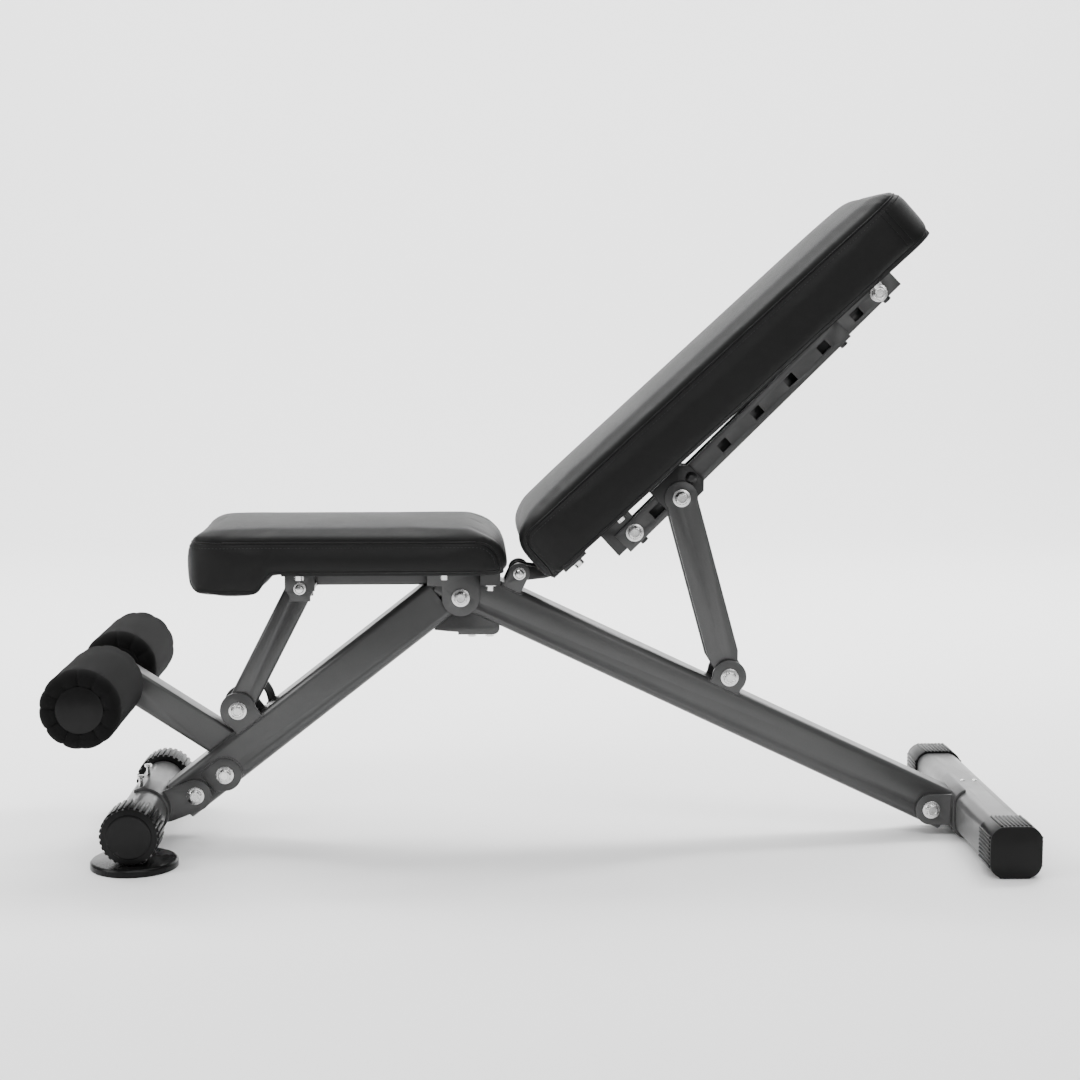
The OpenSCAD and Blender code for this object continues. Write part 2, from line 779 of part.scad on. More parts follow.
module back_outline(inset = 0) {
    top = cushion_under + back_thickness;
    polygon(concat(
        arc([cushion_start + 8, cushion_under + 8], 8, 180, 270, 4),
        arc([cushion_end - 14, cushion_under + 14], 14, 270, 360),
        arc([cushion_end - 28, top - 28], 28, 0, 90),
        arc([cushion_start + 24, top - 24], 24, 90, 180)));
}

module back_plan(inset) {
    translate([(cushion_start + cushion_end) / 2, 0])
        rounded_rect(back_length - 2 * inset, cushion_width - 2 * inset, 46 - inset);
}

module back_board_shape() {
    translate([0, 0, cushion_under]) linear_extrude(board) back_plan(board_inset);
}

back_bolt_u = [hinge_bolt_u, ladder_at[0], ladder_at[0] + ladder_run];

module back_board() color("burlywood") on_back() difference() {
    back_board_shape();
    for (u = back_bolt_u, y = [-seat_bolt_y, seat_bolt_y]) translate([u, y, cushion_under]) {
        translate([0, 0, -1]) cylinder(d = tee_barrel, h = board + 2);
        translate([0, 0, board - tee_sink]) cylinder(d = tee_flange, h = tee_sink + 1);
    }
}

module back_cushion() color("#1c1c1e") on_back() difference() {
    intersection() {
        slab(-cushion_width / 2, cushion_width / 2) back_outline();
        translate([0, 0, cushion_under - 1]) linear_extrude(back_thickness + 2) back_plan(0);
    }
    back_board_shape();
}

module back_bolts() color("silver") on_back()
    for (y = [-seat_bolt_y, seat_bolt_y]) {
        translate([hinge_bolt_u, y, cushion_under - lug_foot])
            cushion_bolt(lug_foot + board - board_bolt_short);
        for (u = [ladder_at[0], ladder_at[0] + ladder_run])
            translate([u, y, cushion_under - bracket_foot])
                cushion_bolt(bracket_foot + board - board_bolt_short);
    }

module back_tee_nuts() color("silver") on_back()
    for (u = back_bolt_u, y = [-seat_bolt_y, seat_bolt_y])
        translate([u, y, cushion_under]) tee_nut();

// Outer ladder rail: a channel open towards the cushion, windows in its near flange
module ladder_rail() color("dimgray") on_ladder() difference() {
    translate([-ladder_tail, -ladder_width / 2, -ladder_depth / 2])
        cube([overlap_at + ladder_tail, ladder_width, ladder_depth]);
    translate([-long / 2, -ladder_width / 2 + ladder_wall, -ladder_depth / 2 + ladder_wall])
        cube([2 * long, ladder_width - 2 * ladder_wall, long]);
    ladder_windows();
    cross_pin(bolt, long);
    for (u = stud_u) translate([u, 0, -long]) cylinder(d = small_bolt, h = long);
}

module ladder_windows() {
    for (i = [0 : window_count]) {
        stretch = i == 0 ? 4 : 0;
        u = first_window + (i - 1) * window_pitch;
        translate([u - window[0] / 2 - stretch, -ladder_width, -window[1] / 2])
            cube([window[0] + stretch, ladder_width, window[1]]);
    }
}

insert_start = overlap_at - 60;
insert_clear = 0.2;

// Inner channel that carries on from the outer rail to the upper bracket
module ladder_insert() color("dimgray") {
    w = ladder_width - 2 * ladder_wall - 2 * insert_clear;
    h = ladder_depth - ladder_wall - insert_clear;
    on_ladder() difference() {
        translate([insert_start, -w / 2, -ladder_depth / 2 + ladder_wall])
            cube([ladder_run + ladder_head - insert_start, w, h]);
        translate([0, -w / 2 + ladder_wall, -ladder_depth / 2 + 2 * ladder_wall])
            cube([2 * long, w - 2 * ladder_wall, long]);
        ladder_windows();
        translate([ladder_run, 0, 0]) cross_pin(bolt, long);
        for (u = stud_u) translate([u, 0, -long]) cylinder(d = small_bolt, h = long);
    }
}

bracket_foot = 6;
bracket_reach = 28;
tongue_depth = 62;          // before it is cut to the ladder rail

// Foot plate under the board and a tongue down into the ladder rail
module ladder_bracket(u, tongue, from, to) {
    difference() {
        union() {
            on_back() translate([u - bracket_reach, -bar_half, cushion_under - bracket_foot])
                cube([2 * bracket_reach, 2 * bar_half, bracket_foot]);
            difference() {
                on_back() translate([u + from, -tongue, cushion_under - bracket_foot - tongue_depth])
                    cube([to - from, 2 * tongue, tongue_depth]);
                on_ladder() translate([-long, -long / 2, -long - ladder_depth / 2 + 2 * ladder_wall + 1])
                    cube([3 * long, long, long]);
            }
        }
        for (y = [-seat_bolt_y, seat_bolt_y]) on_back() translate([u, y, -long / 2])
            cylinder(d = board_bolt, h = long);
    }
}

module ladder_lower_bracket() color("black") difference() {
    ladder_bracket(ladder_at[0], ladder_width / 2 - ladder_wall - touch, -40, 14);
    on_ladder() cross_pin(bolt, long);
}

module ladder_upper_bracket() color("black") difference() {
    ladder_bracket(ladder_at[0] + ladder_run, ladder_width / 2 - 2 * ladder_wall - 2 * touch, -18, 20);
    on_ladder() translate([ladder_run, 0, 0]) cross_pin(bolt, long);
}

module ladder_bolts() color("silver") {
    on_ladder() cross_bolt(ladder_width);
    on_ladder() translate([ladder_run, 0, 0]) cross_bolt(upper_grip);
}

upper_grip = ladder_width - 2 * ladder_wall - 2 * insert_clear;

module ladder_washers() color("silver") {
    on_ladder() washer_pair(ladder_width);
    on_ladder() translate([ladder_run, 0, 0]) washer_pair(upper_grip);
}

module ladder_nuts() color("silver") {
    on_ladder() hex_nut(ladder_width);
    on_ladder() translate([ladder_run, 0, 0]) hex_nut(upper_grip);
}

stud_u = [2, 405, 494];
stud_head = 6;

// Short black studs under the rail, with the rail clamped to its insert
module ladder_studs() color("black") on_ladder() for (u = stud_u)
    translate([u, 0, -ladder_depth / 2 + (u > overlap_at ? ladder_wall : 0)]) {
        translate([0, 0, -stud_head]) cylinder(d = 2 * stud_head, h = stud_head);
        walls = u > insert_start && u < overlap_at ? 2 : 1;
        cylinder(d = small_bolt, h = walls * ladder_wall + 0.8);
    }

// ---- Back strut and carriage ----

taper = 34;                 // where the strut reaches its full depth above its foot
foot_radius = 13;
head_radius = 24;
web_stop = 46;              // web ends this far below the head pin

// Channel open towards the rail; its flanges end in the head ears
module back_strut() color("dimgray") place(foot_pin, strut_angle) difference() {
    union() {
        plate_pair(strut_half - strut_wall, strut_wall) {
            circle(r = foot_radius);
            polygon([[0, -foot_radius], [taper, -back_strut_depth / 2],
                     [taper, back_strut_depth / 2], [0, foot_radius]]);
            translate([taper, -back_strut_depth / 2])
                square([strut_run - taper, back_strut_depth]);
            translate([strut_run, 0]) circle(r = head_radius);
        }
        translate([taper, -strut_half, -back_strut_depth / 2])
            cube([strut_run - taper - web_stop, 2 * strut_half, strut_wall]);
    }
    cross_pin(bolt + 2 * fit, long);
    translate([strut_run, 0, 0]) cross_pin(bolt + 2 * fit, long);
}

// Spacer tube between the strut's flanges at its foot
module strut_bush() color("black") place(foot_pin) difference() {
    cross_pin(18, 2 * (strut_half - strut_wall));
    cross_pin(bolt + 2 * fit, long);
}

module carriage() color("#2a2a2c") on_ladder() translate([head_at, 0, 0]) {
    floor_z = -ladder_depth / 2 - float_gap - cheek;
    roof_z = ladder_depth / 2 + float_gap;
    reach = carriage_tail + carriage_nose;
    difference() {
        union() {
            both_sides() translate([-carriage_tail, carriage_inner, floor_z])
                cube([reach, cheek, roof_z - floor_z + 3]);
            translate([-carriage_tail, -carriage_inner - 1, floor_z])
                cube([reach, 2 * carriage_inner + 2, cheek]);
            both_sides() translate([-carriage_tail, carriage_inner - 2.5, roof_z])
                cube([reach, 3, 3]);
        }
        translate([0, 0, -head_drop]) cross_pin(bolt, long);
        translate([catch_offset, -carriage_inner, 0]) cross_pin(catch_diameter, 2 * cheek + 2);
        translate([0, -stud_slot / 2, floor_z - 1]) cube([long, stud_slot, cheek + 2]);
        for (z = [floor_z - 1, roof_z + 4]) translate([carriage_nose, 0, z]) rotate([0, 45, 0])
            cube([18, long, 18], center = true);
    }
}

module at_head() {
    place(head_pin) both_sides() translate([0, -strut_half, 0]) children();
}

head_play = 0.3;

// Short bolts through the strut's head ears into the carriage cheeks
module carriage_bolts() color("silver") at_head() rotate([-90, 0, 0]) {
    seat = head_play + washer_thickness;
    translate([0, 0, -seat - head_height]) cylinder(d = bolt_head, h = head_height, $fn = 6);
    translate([0, 0, -seat]) cylinder(d = bolt, h = strut_half - carriage_inner + seat);
}

module carriage_washers() color("silver") at_head() rotate([-90, 0, 0]) difference() {
    translate([0, 0, -head_play - washer_thickness]) cylinder(d = washer, h = washer_thickness);
    translate([0, 0, -bolt]) cylinder(d = bolt, h = 2 * bolt);
}

// Domed catch pin in the near cheek, drawn clear of the windows
module catch_pin() color("#2a2a2c") on_ladder()
    translate([head_at + catch_offset, -carriage_inner, 0]) rotate([90, 0, 0]) {
        cylinder(d = catch_diameter, h = cheek);
        translate([0, 0, cheek]) cylinder(d = catch_head, h = 2);
        translate([0, 0, cheek + 2]) cylinder(d1 = catch_head, d2 = 8, h = 3);
    }

// ---- Through bolts ----

washer_thickness = 2.5;
head_height = 8;
nut_height = 8;
thread_past = 2;            // thread showing past a nut
bolt_head = 16;             // across the corners of a hex head or nut
small_washer = 18;          // under the small round heads at the seat strut and the hinge
small_head = 13;

// Bolt across the bench with its head at the near end, nut not included
module cross_bolt(grip, head = bolt_head, sides = 6) {
    reach = grip / 2 + washer_thickness;
    rotate([90, 0, 0]) {
        translate([0, 0, -reach - nut_height - thread_past])
            cylinder(d = bolt, h = 2 * reach + nut_height + thread_past);
        translate([0, 0, reach]) cylinder(d = head, h = head_height, $fn = sides);
    }
}

module washer_pair(grip, size = washer) {
    both_sides() rotate([90, 0, 0]) translate([0, 0, grip / 2]) difference() {
        cylinder(d = size, h = washer_thickness);
        translate([0, 0, -1]) cylinder(d = bolt, h = washer_thickness + 2);
    }
}

module hex_nut(grip) {
    rotate([-90, 0, 0]) translate([0, 0, grip / 2 + washer_thickness]) difference() {
        cylinder(d = bolt_head, h = nut_height, $fn = 6);
        translate([0, 0, -1]) cylinder(d = bolt, h = nut_height + 2);
    }
}

// Through bolts of the fixed frame: where each one is and what it clamps
frame_joints = [
    [pivot, 2 * (half + touch + plate)],
    [front_foot_bolt, 2 * (half + saddle_wall)],
    [front_plate_bolt, 2 * (half + saddle_wall - 1)],
    [rear_foot_bolt, 2 * (half + saddle_wall)],
    [strut_pin, 2 * half],
    [foot_pin, 2 * half]
];
small_joints = [[seat_pin, 2 * half], [hinge, 2 * half]];

module frame_bolts() color("silver") {
    for (j = frame_joints) place(j[0]) cross_bolt(j[1]);
    for (j = small_joints) place(j[0]) cross_bolt(j[1], small_head, $fn);
}

module frame_washers() color("silver") {
    for (j = frame_joints) place(j[0]) washer_pair(j[1]);
    for (j = small_joints) place(j[0]) washer_pair(j[1], small_washer);
}

module frame_nuts() color("silver")
    for (j = concat(frame_joints, small_joints)) place(j[0]) hex_nut(j[1]);

front_leg();
rear_leg();
pivot_plates();
knee_bracket();
knee_bolts();
front_foot_tube();
front_foot_caps();
floor_discs();
front_foot_saddle();
front_leg_plates();
saddle_bolts();
rear_foot_tube();
rear_foot_caps();
rear_foot_saddle();
rear_foot_rivets();
strut_ears();
band_loop();
seat_strut();
seat_front_bracket();
seat_front_bar();
seat_rail();
seat_saddle();
seat_rear_bar();
seat_board();
seat_cushion();
seat_bolts();
seat_tee_nuts();
hinge_ears();
back_strut_ears();
frame_bolts();
frame_washers();
frame_nuts();
roller_arm();
roller_axle();
axle_collars();
near_roller();
near_roller_discs();
far_roller();
far_roller_discs();
hinge_lug();
back_board();
back_cushion();
ladder_rail();
ladder_insert();
ladder_lower_bracket();
ladder_upper_bracket();
ladder_bolts();
ladder_washers();
ladder_nuts();
ladder_studs();
back_bolts();
back_tee_nuts();
back_strut();
strut_bush();
carriage();
carriage_bolts();
carriage_washers();
catch_pin();
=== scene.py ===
import json
import math
import random

import bmesh
import bpy
from mathutils import Matrix, Vector, noise
from mathutils.bvhtree import BVHTree
from mathutils.kdtree import KDTree


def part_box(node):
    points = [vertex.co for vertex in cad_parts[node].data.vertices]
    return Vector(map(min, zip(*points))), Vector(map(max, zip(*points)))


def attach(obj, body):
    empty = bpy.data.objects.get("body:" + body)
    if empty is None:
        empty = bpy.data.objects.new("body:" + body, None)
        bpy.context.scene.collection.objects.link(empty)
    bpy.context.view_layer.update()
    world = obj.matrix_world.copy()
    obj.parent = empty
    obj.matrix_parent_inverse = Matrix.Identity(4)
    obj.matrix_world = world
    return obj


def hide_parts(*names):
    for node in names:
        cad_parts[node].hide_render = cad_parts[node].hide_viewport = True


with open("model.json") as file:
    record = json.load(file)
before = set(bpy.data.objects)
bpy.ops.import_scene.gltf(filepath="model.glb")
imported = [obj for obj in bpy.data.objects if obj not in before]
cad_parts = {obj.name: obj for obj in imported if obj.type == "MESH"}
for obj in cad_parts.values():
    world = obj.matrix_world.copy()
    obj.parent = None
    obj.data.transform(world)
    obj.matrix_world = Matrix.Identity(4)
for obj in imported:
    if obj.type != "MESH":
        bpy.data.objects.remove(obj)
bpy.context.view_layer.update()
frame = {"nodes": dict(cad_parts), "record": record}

nodes = frame["nodes"]
joints = {joint["name"]: joint for joint in frame["record"]["behaviour"]["joints"]}
hingePoint = Vector(joints["back_recline"]["pos_m"])
bodyOf = {}
for bodyName, members in frame["record"]["behaviour"]["bodies"].items():
    for member in members:
        bodyOf[member] = bodyName
slotOf = {part["node"]: part["material_slot"] for part in frame["record"]["subparts"]}
mm = 0.001


# One output socket in a shader tree; sums on it add Math nodes
class Wire:
    def __init__(self, tree, socket=None):
        self.tree = tree
        self.socket = socket

    def node(self, kind, settings=None, inputs=None, out=0):
        made = self.tree.nodes.new(kind)
        for name, value in (settings or {}).items():
            if name == "stops":
                ramp = made.color_ramp.elements
                while len(ramp) < len(value):
                    ramp.new(0.5)
                for stop, (position, tone) in zip(ramp, value):
                    stop.position = position
                    stop.color = (tone, tone, tone, 1)
            else:
                setattr(made, name, value)
        for name, value in (inputs or {}).items():
            if isinstance(value, Wire):
                self.tree.links.new(value.socket, made.inputs[name])
            else:
                made.inputs[name].default_value = value
        return Wire(self.tree, made.outputs[out])

    def math(self, operation, first, second=0.0):
        return self.node("ShaderNodeMath", {"operation": operation}, {0: first, 1: second})

    def __add__(self, other):
        return self.math("ADD", self, other)

    def __mul__(self, other):
        return self.math("MULTIPLY", self, other)

    __radd__ = __add__
    __rmul__ = __mul__

    def mixed(self, first, second):
        return self.node("ShaderNodeMix", {"data_type": "RGBA"}, {0: self, 6: first, 7: second}, out=2)


def newFinish(name, fixed):
    material = bpy.data.materials.new(name)
    material.use_nodes = True
    tree = material.node_tree
    shader = tree.nodes["Principled BSDF"]
    for socket, value in fixed.items():
        shader.inputs[socket].default_value = value
    start = Wire(tree)
    place = start.node("ShaderNodeTexCoord", out=3)    # object coordinates
    return material, start, place, shader


def feed(start, shader, **links):
    names = {"color": "Base Color", "roughness": "Roughness", "normal": "Normal"}
    for name, wire in links.items():
        start.tree.links.new(wire.socket, shader.inputs[names[name]])


def grey(value, warm=0.0):
    return (value * (1 + warm), value, value * (1 - warm), 1)


coat = {"grain": 620, "cloud": 9, "specks": 2600, "bump": 0.12}


# Satin powder coat: fine orange peel, metal flake and a little handling wear
def powderCoat(name, dark, light, rough, metallic):
    material, start, place, shader = newFinish(name, {"Metallic": metallic, "Specular IOR Level": 0.5})
    cloud = start.node("ShaderNodeTexNoise", None, {"Vector": place, "Scale": coat["cloud"], "Detail": 4.0})
    flake = start.node("ShaderNodeTexVoronoi", None, {"Vector": place, "Scale": coat["specks"]}, out=1)
    flakeTone = start.node("ShaderNodeSeparateColor", None, {0: flake})
    peel = start.node("ShaderNodeTexNoise", None, {"Vector": place, "Scale": coat["grain"], "Detail": 3.0})
    smear = start.node("ShaderNodeTexNoise", None, {"Vector": place, "Scale": 38.0, "Detail": 6.0,
                                                    "Roughness": 0.65})
    tone = cloud * 0.55 + flakeTone * 0.45
    feed(start, shader,
         color=tone.mixed(grey(dark), grey(light)),
         roughness=smear * 0.22 + (rough - 0.11),
         normal=start.node("ShaderNodeBump", None,
                           {"Strength": coat["bump"], "Distance": 0.0004, "Height": peel}))
    return material


zinc = {"brush": 240, "tone": (0.52, 0.80), "rough": 0.2}


def zincPlate(name):
    material, start, place, shader = newFinish(name, {"Metallic": 1.0})
    blotch = start.node("ShaderNodeTexNoise", None, {"Vector": place, "Scale": zinc["brush"], "Detail": 5.0})
    cloud = start.node("ShaderNodeTexNoise", None, {"Vector": place, "Scale": 60.0, "Detail": 3.0})
    low, high = zinc["tone"]
    feed(start, shader,
         color=cloud.mixed(grey(low), grey(high, 0.01)),
         roughness=blotch * 0.25 + (zinc["rough"] - 0.08),
         normal=start.node("ShaderNodeBump", None,
                           {"Strength": 0.15, "Distance": 0.0002, "Height": blotch}))
    return material


def mouldedPlastic(name, tone, rough, grain):
    material, start, place, shader = newFinish(name, {"Specular IOR Level": 0.14})
    fine = start.node("ShaderNodeTexNoise", None, {"Vector": place, "Scale": grain, "Detail": 4.0})
    wide = start.node("ShaderNodeTexNoise", None, {"Vector": place, "Scale": 22.0, "Detail": 5.0})
    feed(start, shader,
         color=wide.mixed(grey(tone * 0.8), grey(tone * 1.3)),
         roughness=wide * 0.2 + (rough - 0.1),
         normal=start.node("ShaderNodeBump", None,
                           {"Strength": 0.14, "Distance": 0.0003, "Height": fine}))
    return material


leather = {"cells": 560, "creases": 95, "tone": 0.0052, "rough": 0.52}


# Black leatherette: pebbled grain cells, soft creases and lighter blotches that are partly rubbed wear and
# partly a painted sheen
def leatherette(name):
    material, start, place, shader = newFinish(name, {"Specular IOR Level": 0.17})
    warp = start.node("ShaderNodeTexNoise", None, {"Vector": place, "Scale": 150.0, "Detail": 2.0}, out=1)
    spread = start.node("ShaderNodeVectorMath", {"operation": "SCALE"}, {0: warp, "Scale": 0.0016})
    shifted = start.node("ShaderNodeVectorMath", {"operation": "ADD"}, {0: place, 1: spread})
    cells = start.node("ShaderNodeTexVoronoi", {"feature": "DISTANCE_TO_EDGE"},
                       {"Vector": shifted, "Scale": leather["cells"]})
    pebble = start.node("ShaderNodeValToRGB", {"stops": [(0.0, 0.0), (0.22, 1.0)]}, {0: cells})
    crease = start.node("ShaderNodeTexNoise", None, {"Vector": place, "Scale": leather["creases"],
                                                     "Detail": 5.0, "Distortion": 1.2})
    # Broad noise: partly rubbed wear, partly a sheen painted into the colour; it also varies roughness
    rubAndSheen = start.node("ShaderNodeTexNoise", None, {"Vector": place, "Scale": 7.0, "Detail": 4.0})
    height = pebble * 0.6 + crease * 0.8
    tone = leather["tone"]
    feed(start, shader,
         # Colour is lighter in the broad blotches: rubbed wear with a painted sheen
         color=(pebble * 0.4 + rubAndSheen * 0.6).mixed(grey(tone * 0.75), grey(tone * 1.3)),
         roughness=rubAndSheen * 0.16 + crease * 0.1 + (leather["rough"] - 0.13),
         normal=start.node("ShaderNodeBump", None,
                           {"Strength": 0.32, "Distance": 0.00035, "Height": height}))
    return material


# Close-knit black sleeve over the foam rollers
def sleeveCloth(name, tone, weave):
    material, start, place, shader = newFinish(
        name, {"Specular IOR Level": 0.05, "Sheen Weight": 0.02, "Sheen Roughness": 0.5})
    along = start.node("ShaderNodeTexWave", {"bands_direction": "Y"},
                       {"Vector": place, "Scale": weave, "Distortion": 1.5, "Detail": 2.0})
    fuzz = start.node("ShaderNodeTexNoise", None, {"Vector": place, "Scale": 1500.0, "Detail": 5.0})
    wear = start.node("ShaderNodeTexNoise", None, {"Vector": place, "Scale": 16.0, "Detail": 6.0})
    feed(start, shader,
         color=(wear * 0.6 + fuzz * 0.4).mixed(grey(tone * 0.6), grey(tone * 1.5)),
         roughness=fuzz * 0.1 + 0.86,
         normal=start.node("ShaderNodeBump", None,
                           {"Strength": 0.45, "Distance": 0.0004, "Height": along * 0.35 + fuzz}))
    return material


def boardCover(name):
    material, start, place, shader = newFinish(name, {"Specular IOR Level": 0.3})
    fibres = start.node("ShaderNodeTexNoise", None, {"Vector": place, "Scale": 700.0, "Detail": 8.0,
                                                     "Distortion": 3.0})
    feed(start, shader,
         color=fibres.mixed(grey(0.008), grey(0.03)),
         roughness=fibres * 0.1 + 0.85,
         normal=start.node("ShaderNodeBump", None,
                           {"Strength": 0.5, "Distance": 0.0005, "Height": fibres}))
    return material


finishes = {
    "powder_coat": powderCoat("charcoalCoat", 0.044, 0.066, 0.34, 0.30),
    "foot_coat": powderCoat("footTubeCoat", 0.10, 0.15, 0.34, 0.5),
    "black_coat": powderCoat("blackCoat", 0.006, 0.012, 0.36, 0.1),
    "black_plastic": mouldedPlastic("blackPlastic", 0.0065, 0.34, 900.0),
    "zinc": zincPlate("zincPlate"),
    "leatherette": leatherette("blackLeatherette"),
    "foam": sleeveCloth("sleeveCloth", 0.006, 520.0),
    "plywood": boardCover("boardCover"),
}
threadFinish = sleeveCloth("seamThread", 0.03, 900.0)
discFinish = mouldedPlastic("discPlastic", 0.006, 0.25, 500.0)
print("finishes made")


def newPiece(name, mesh, finish, body, replaced=()):
    piece = bpy.data.objects.new(name, mesh)
    bpy.context.scene.collection.objects.link(piece)
    if finish:
        mesh.materials.clear()
        mesh.materials.append(finish)
    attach(piece, body)
    if replaced:
        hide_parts(*replaced)
    return piece


def evaluatedMesh(piece):
    graph = bpy.context.evaluated_depsgraph_get()
    graph.update()
    return bpy.data.meshes.new_from_object(piece.evaluated_get(graph))


def looseObject(name, mesh):
    loose = bpy.data.objects.new(name, mesh)
    bpy.context.scene.collection.objects.link(loose)
    return loose


def dropObject(loose):
    mesh = loose.data
    bpy.data.objects.remove(loose)
    if mesh.users == 0:
        bpy.data.meshes.remove(mesh)


def mergedCopy(node):
    work = bmesh.new()
    work.from_mesh(nodes[node].data)
    bmesh.ops.remove_doubles(work, verts=work.verts, dist=0.00002)
    return work


def shadeByAngle(mesh, degrees):
    work = bmesh.new()
    work.from_mesh(mesh)
    limit = math.radians(degrees)
    for face in work.faces:
        face.smooth = True
    for edge in work.edges:
        edge.smooth = edge.is_manifold and edge.calc_face_angle(0.0) < limit
    work.to_mesh(mesh)
    work.free()


edges = {"plate": 0.9, "tube": 0.5, "plastic": 0.8, "fastener": 0.35}


# A copy of a CAD node with its hard edges rounded as paint and moulding leave them
def roundedCopy(node, width, finish=None):
    work = mergedCopy(node)
    bmesh.ops.dissolve_limit(work, angle_limit=math.radians(1.0), verts=work.verts, edges=work.edges)
    mesh = bpy.data.meshes.new(node + "_soft")
    work.to_mesh(mesh)
    work.free()
    loose = looseObject("rounding", mesh)
    bevel = loose.modifiers.new("edges", "BEVEL")
    bevel.width = width * mm
    bevel.segments = 2
    bevel.limit_method = "ANGLE"
    bevel.angle_limit = math.radians(38)
    bevel.use_clamp_overlap = True
    bevel.harden_normals = False
    done = evaluatedMesh(loose)
    dropObject(loose)
    shadeByAngle(done, 33)
    slot = slotOf[node]
    return newPiece(node + ".finish", done, finish or finishes[slot], bodyOf[node], (node,))


# Geometry Nodes: one stamp on every point, turned by the point's own "turn", then made real
def stampTree():
    tree = bpy.data.node_groups.new("stamps", "GeometryNodeTree")
    face = tree.interface
    face.new_socket("Geometry", in_out="INPUT", socket_type="NodeSocketGeometry")
    face.new_socket("Stamp", in_out="INPUT", socket_type="NodeSocketObject")
    face.new_socket("Smallest", in_out="INPUT", socket_type="NodeSocketFloat")
    face.new_socket("Largest", in_out="INPUT", socket_type="NodeSocketFloat")
    face.new_socket("Seed", in_out="INPUT", socket_type="NodeSocketInt")
    face.new_socket("Finish", in_out="INPUT", socket_type="NodeSocketMaterial")
    face.new_socket("Geometry", in_out="OUTPUT", socket_type="NodeSocketGeometry")
    made = {}
    for name, kind in (("given", "NodeGroupInput"), ("result", "NodeGroupOutput"),
                       ("stamp", "GeometryNodeObjectInfo"), ("turn", "GeometryNodeInputNamedAttribute"),
                       ("size", "FunctionNodeRandomValue"), ("put", "GeometryNodeInstanceOnPoints"),
                       ("real", "GeometryNodeRealizeInstances"), ("paint", "GeometryNodeSetMaterial")):
        made[name] = tree.nodes.new(kind)
    made["turn"].data_type = "FLOAT_VECTOR"
    made["turn"].inputs["Name"].default_value = "turn"
    link = tree.links.new
    link(made["given"].outputs["Geometry"], made["put"].inputs["Points"])
    link(made["given"].outputs["Stamp"], made["stamp"].inputs["Object"])
    link(made["stamp"].outputs["Geometry"], made["put"].inputs["Instance"])
    link(made["turn"].outputs["Attribute"], made["put"].inputs["Rotation"])
    link(made["given"].outputs["Smallest"], made["size"].inputs[2])
    link(made["given"].outputs["Largest"], made["size"].inputs[3])
    link(made["given"].outputs["Seed"], made["size"].inputs["Seed"])
    link(made["size"].outputs[1], made["put"].inputs["Scale"])
    link(made["put"].outputs["Instances"], made["real"].inputs["Geometry"])
    link(made["real"].outputs["Geometry"], made["paint"].inputs["Geometry"])
    link(made["given"].outputs["Finish"], made["paint"].inputs["Material"])
    link(made["paint"].outputs["Geometry"], made["result"].inputs["Geometry"])
    return tree


stampNodes = stampTree()


# places is a list of (point, 3x3 turn); the result is one plain mesh
def stampMesh(places, stamp, finish, smallest=1.0, largest=1.0, seed=7):
    cloud = bpy.data.meshes.new("places")
    cloud.from_pydata([tuple(point) for point, turn in places], [], [])
    turns = cloud.attributes.new("turn", "FLOAT_VECTOR", "POINT")
    for row, (point, turn) in zip(turns.data, places):
        row.vector = turn.to_euler()
    holder = looseObject("places", cloud)
    modifier = holder.modifiers.new("stamps", "NODES")
    modifier.node_group = stampNodes
    ids = {item.name: item.identifier for item in stampNodes.interface.items_tree
           if item.in_out == "INPUT"}
    modifier[ids["Stamp"]] = stamp
    modifier[ids["Smallest"]] = smallest
    modifier[ids["Largest"]] = largest
    modifier[ids["Seed"]] = seed
    modifier[ids["Finish"]] = finish
    done = evaluatedMesh(holder)
    dropObject(holder)
    return done


# Turns a profile of (radius, height) rows around Z into a closed mesh
def turned(name, rows, steps, wobble=None):
    work = bmesh.new()
    rings = []
    for radius, height in rows:
        if radius < 1e-6:
            rings.append([work.verts.new((0, 0, height))])
            continue
        ring = []
        for i in range(steps):
            angle = math.tau * i / steps
            reach, rise = wobble(angle, radius, height) if wobble else (radius, height)
            ring.append(work.verts.new((reach * math.cos(angle), reach * math.sin(angle), rise)))
        rings.append(ring)
    for low, high in zip(rings, rings[1:]):
        for i in range(steps):
            j = (i + 1) % steps
            corners = [low[i % len(low)], low[j % len(low)], high[j % len(high)], high[i % len(high)]]
            unique = list(dict.fromkeys(corners))
            if len(unique) > 2:
                work.faces.new(unique)
    bmesh.ops.recalc_face_normals(work, faces=work.faces)
    mesh = bpy.data.meshes.new(name)
    work.to_mesh(mesh)
    work.free()
    return mesh


def joinedMesh(name, meshes):
    work = bmesh.new()
    for mesh in meshes:
        work.from_mesh(mesh)
    out = bpy.data.meshes.new(name)
    work.to_mesh(out)
    work.free()
    return out


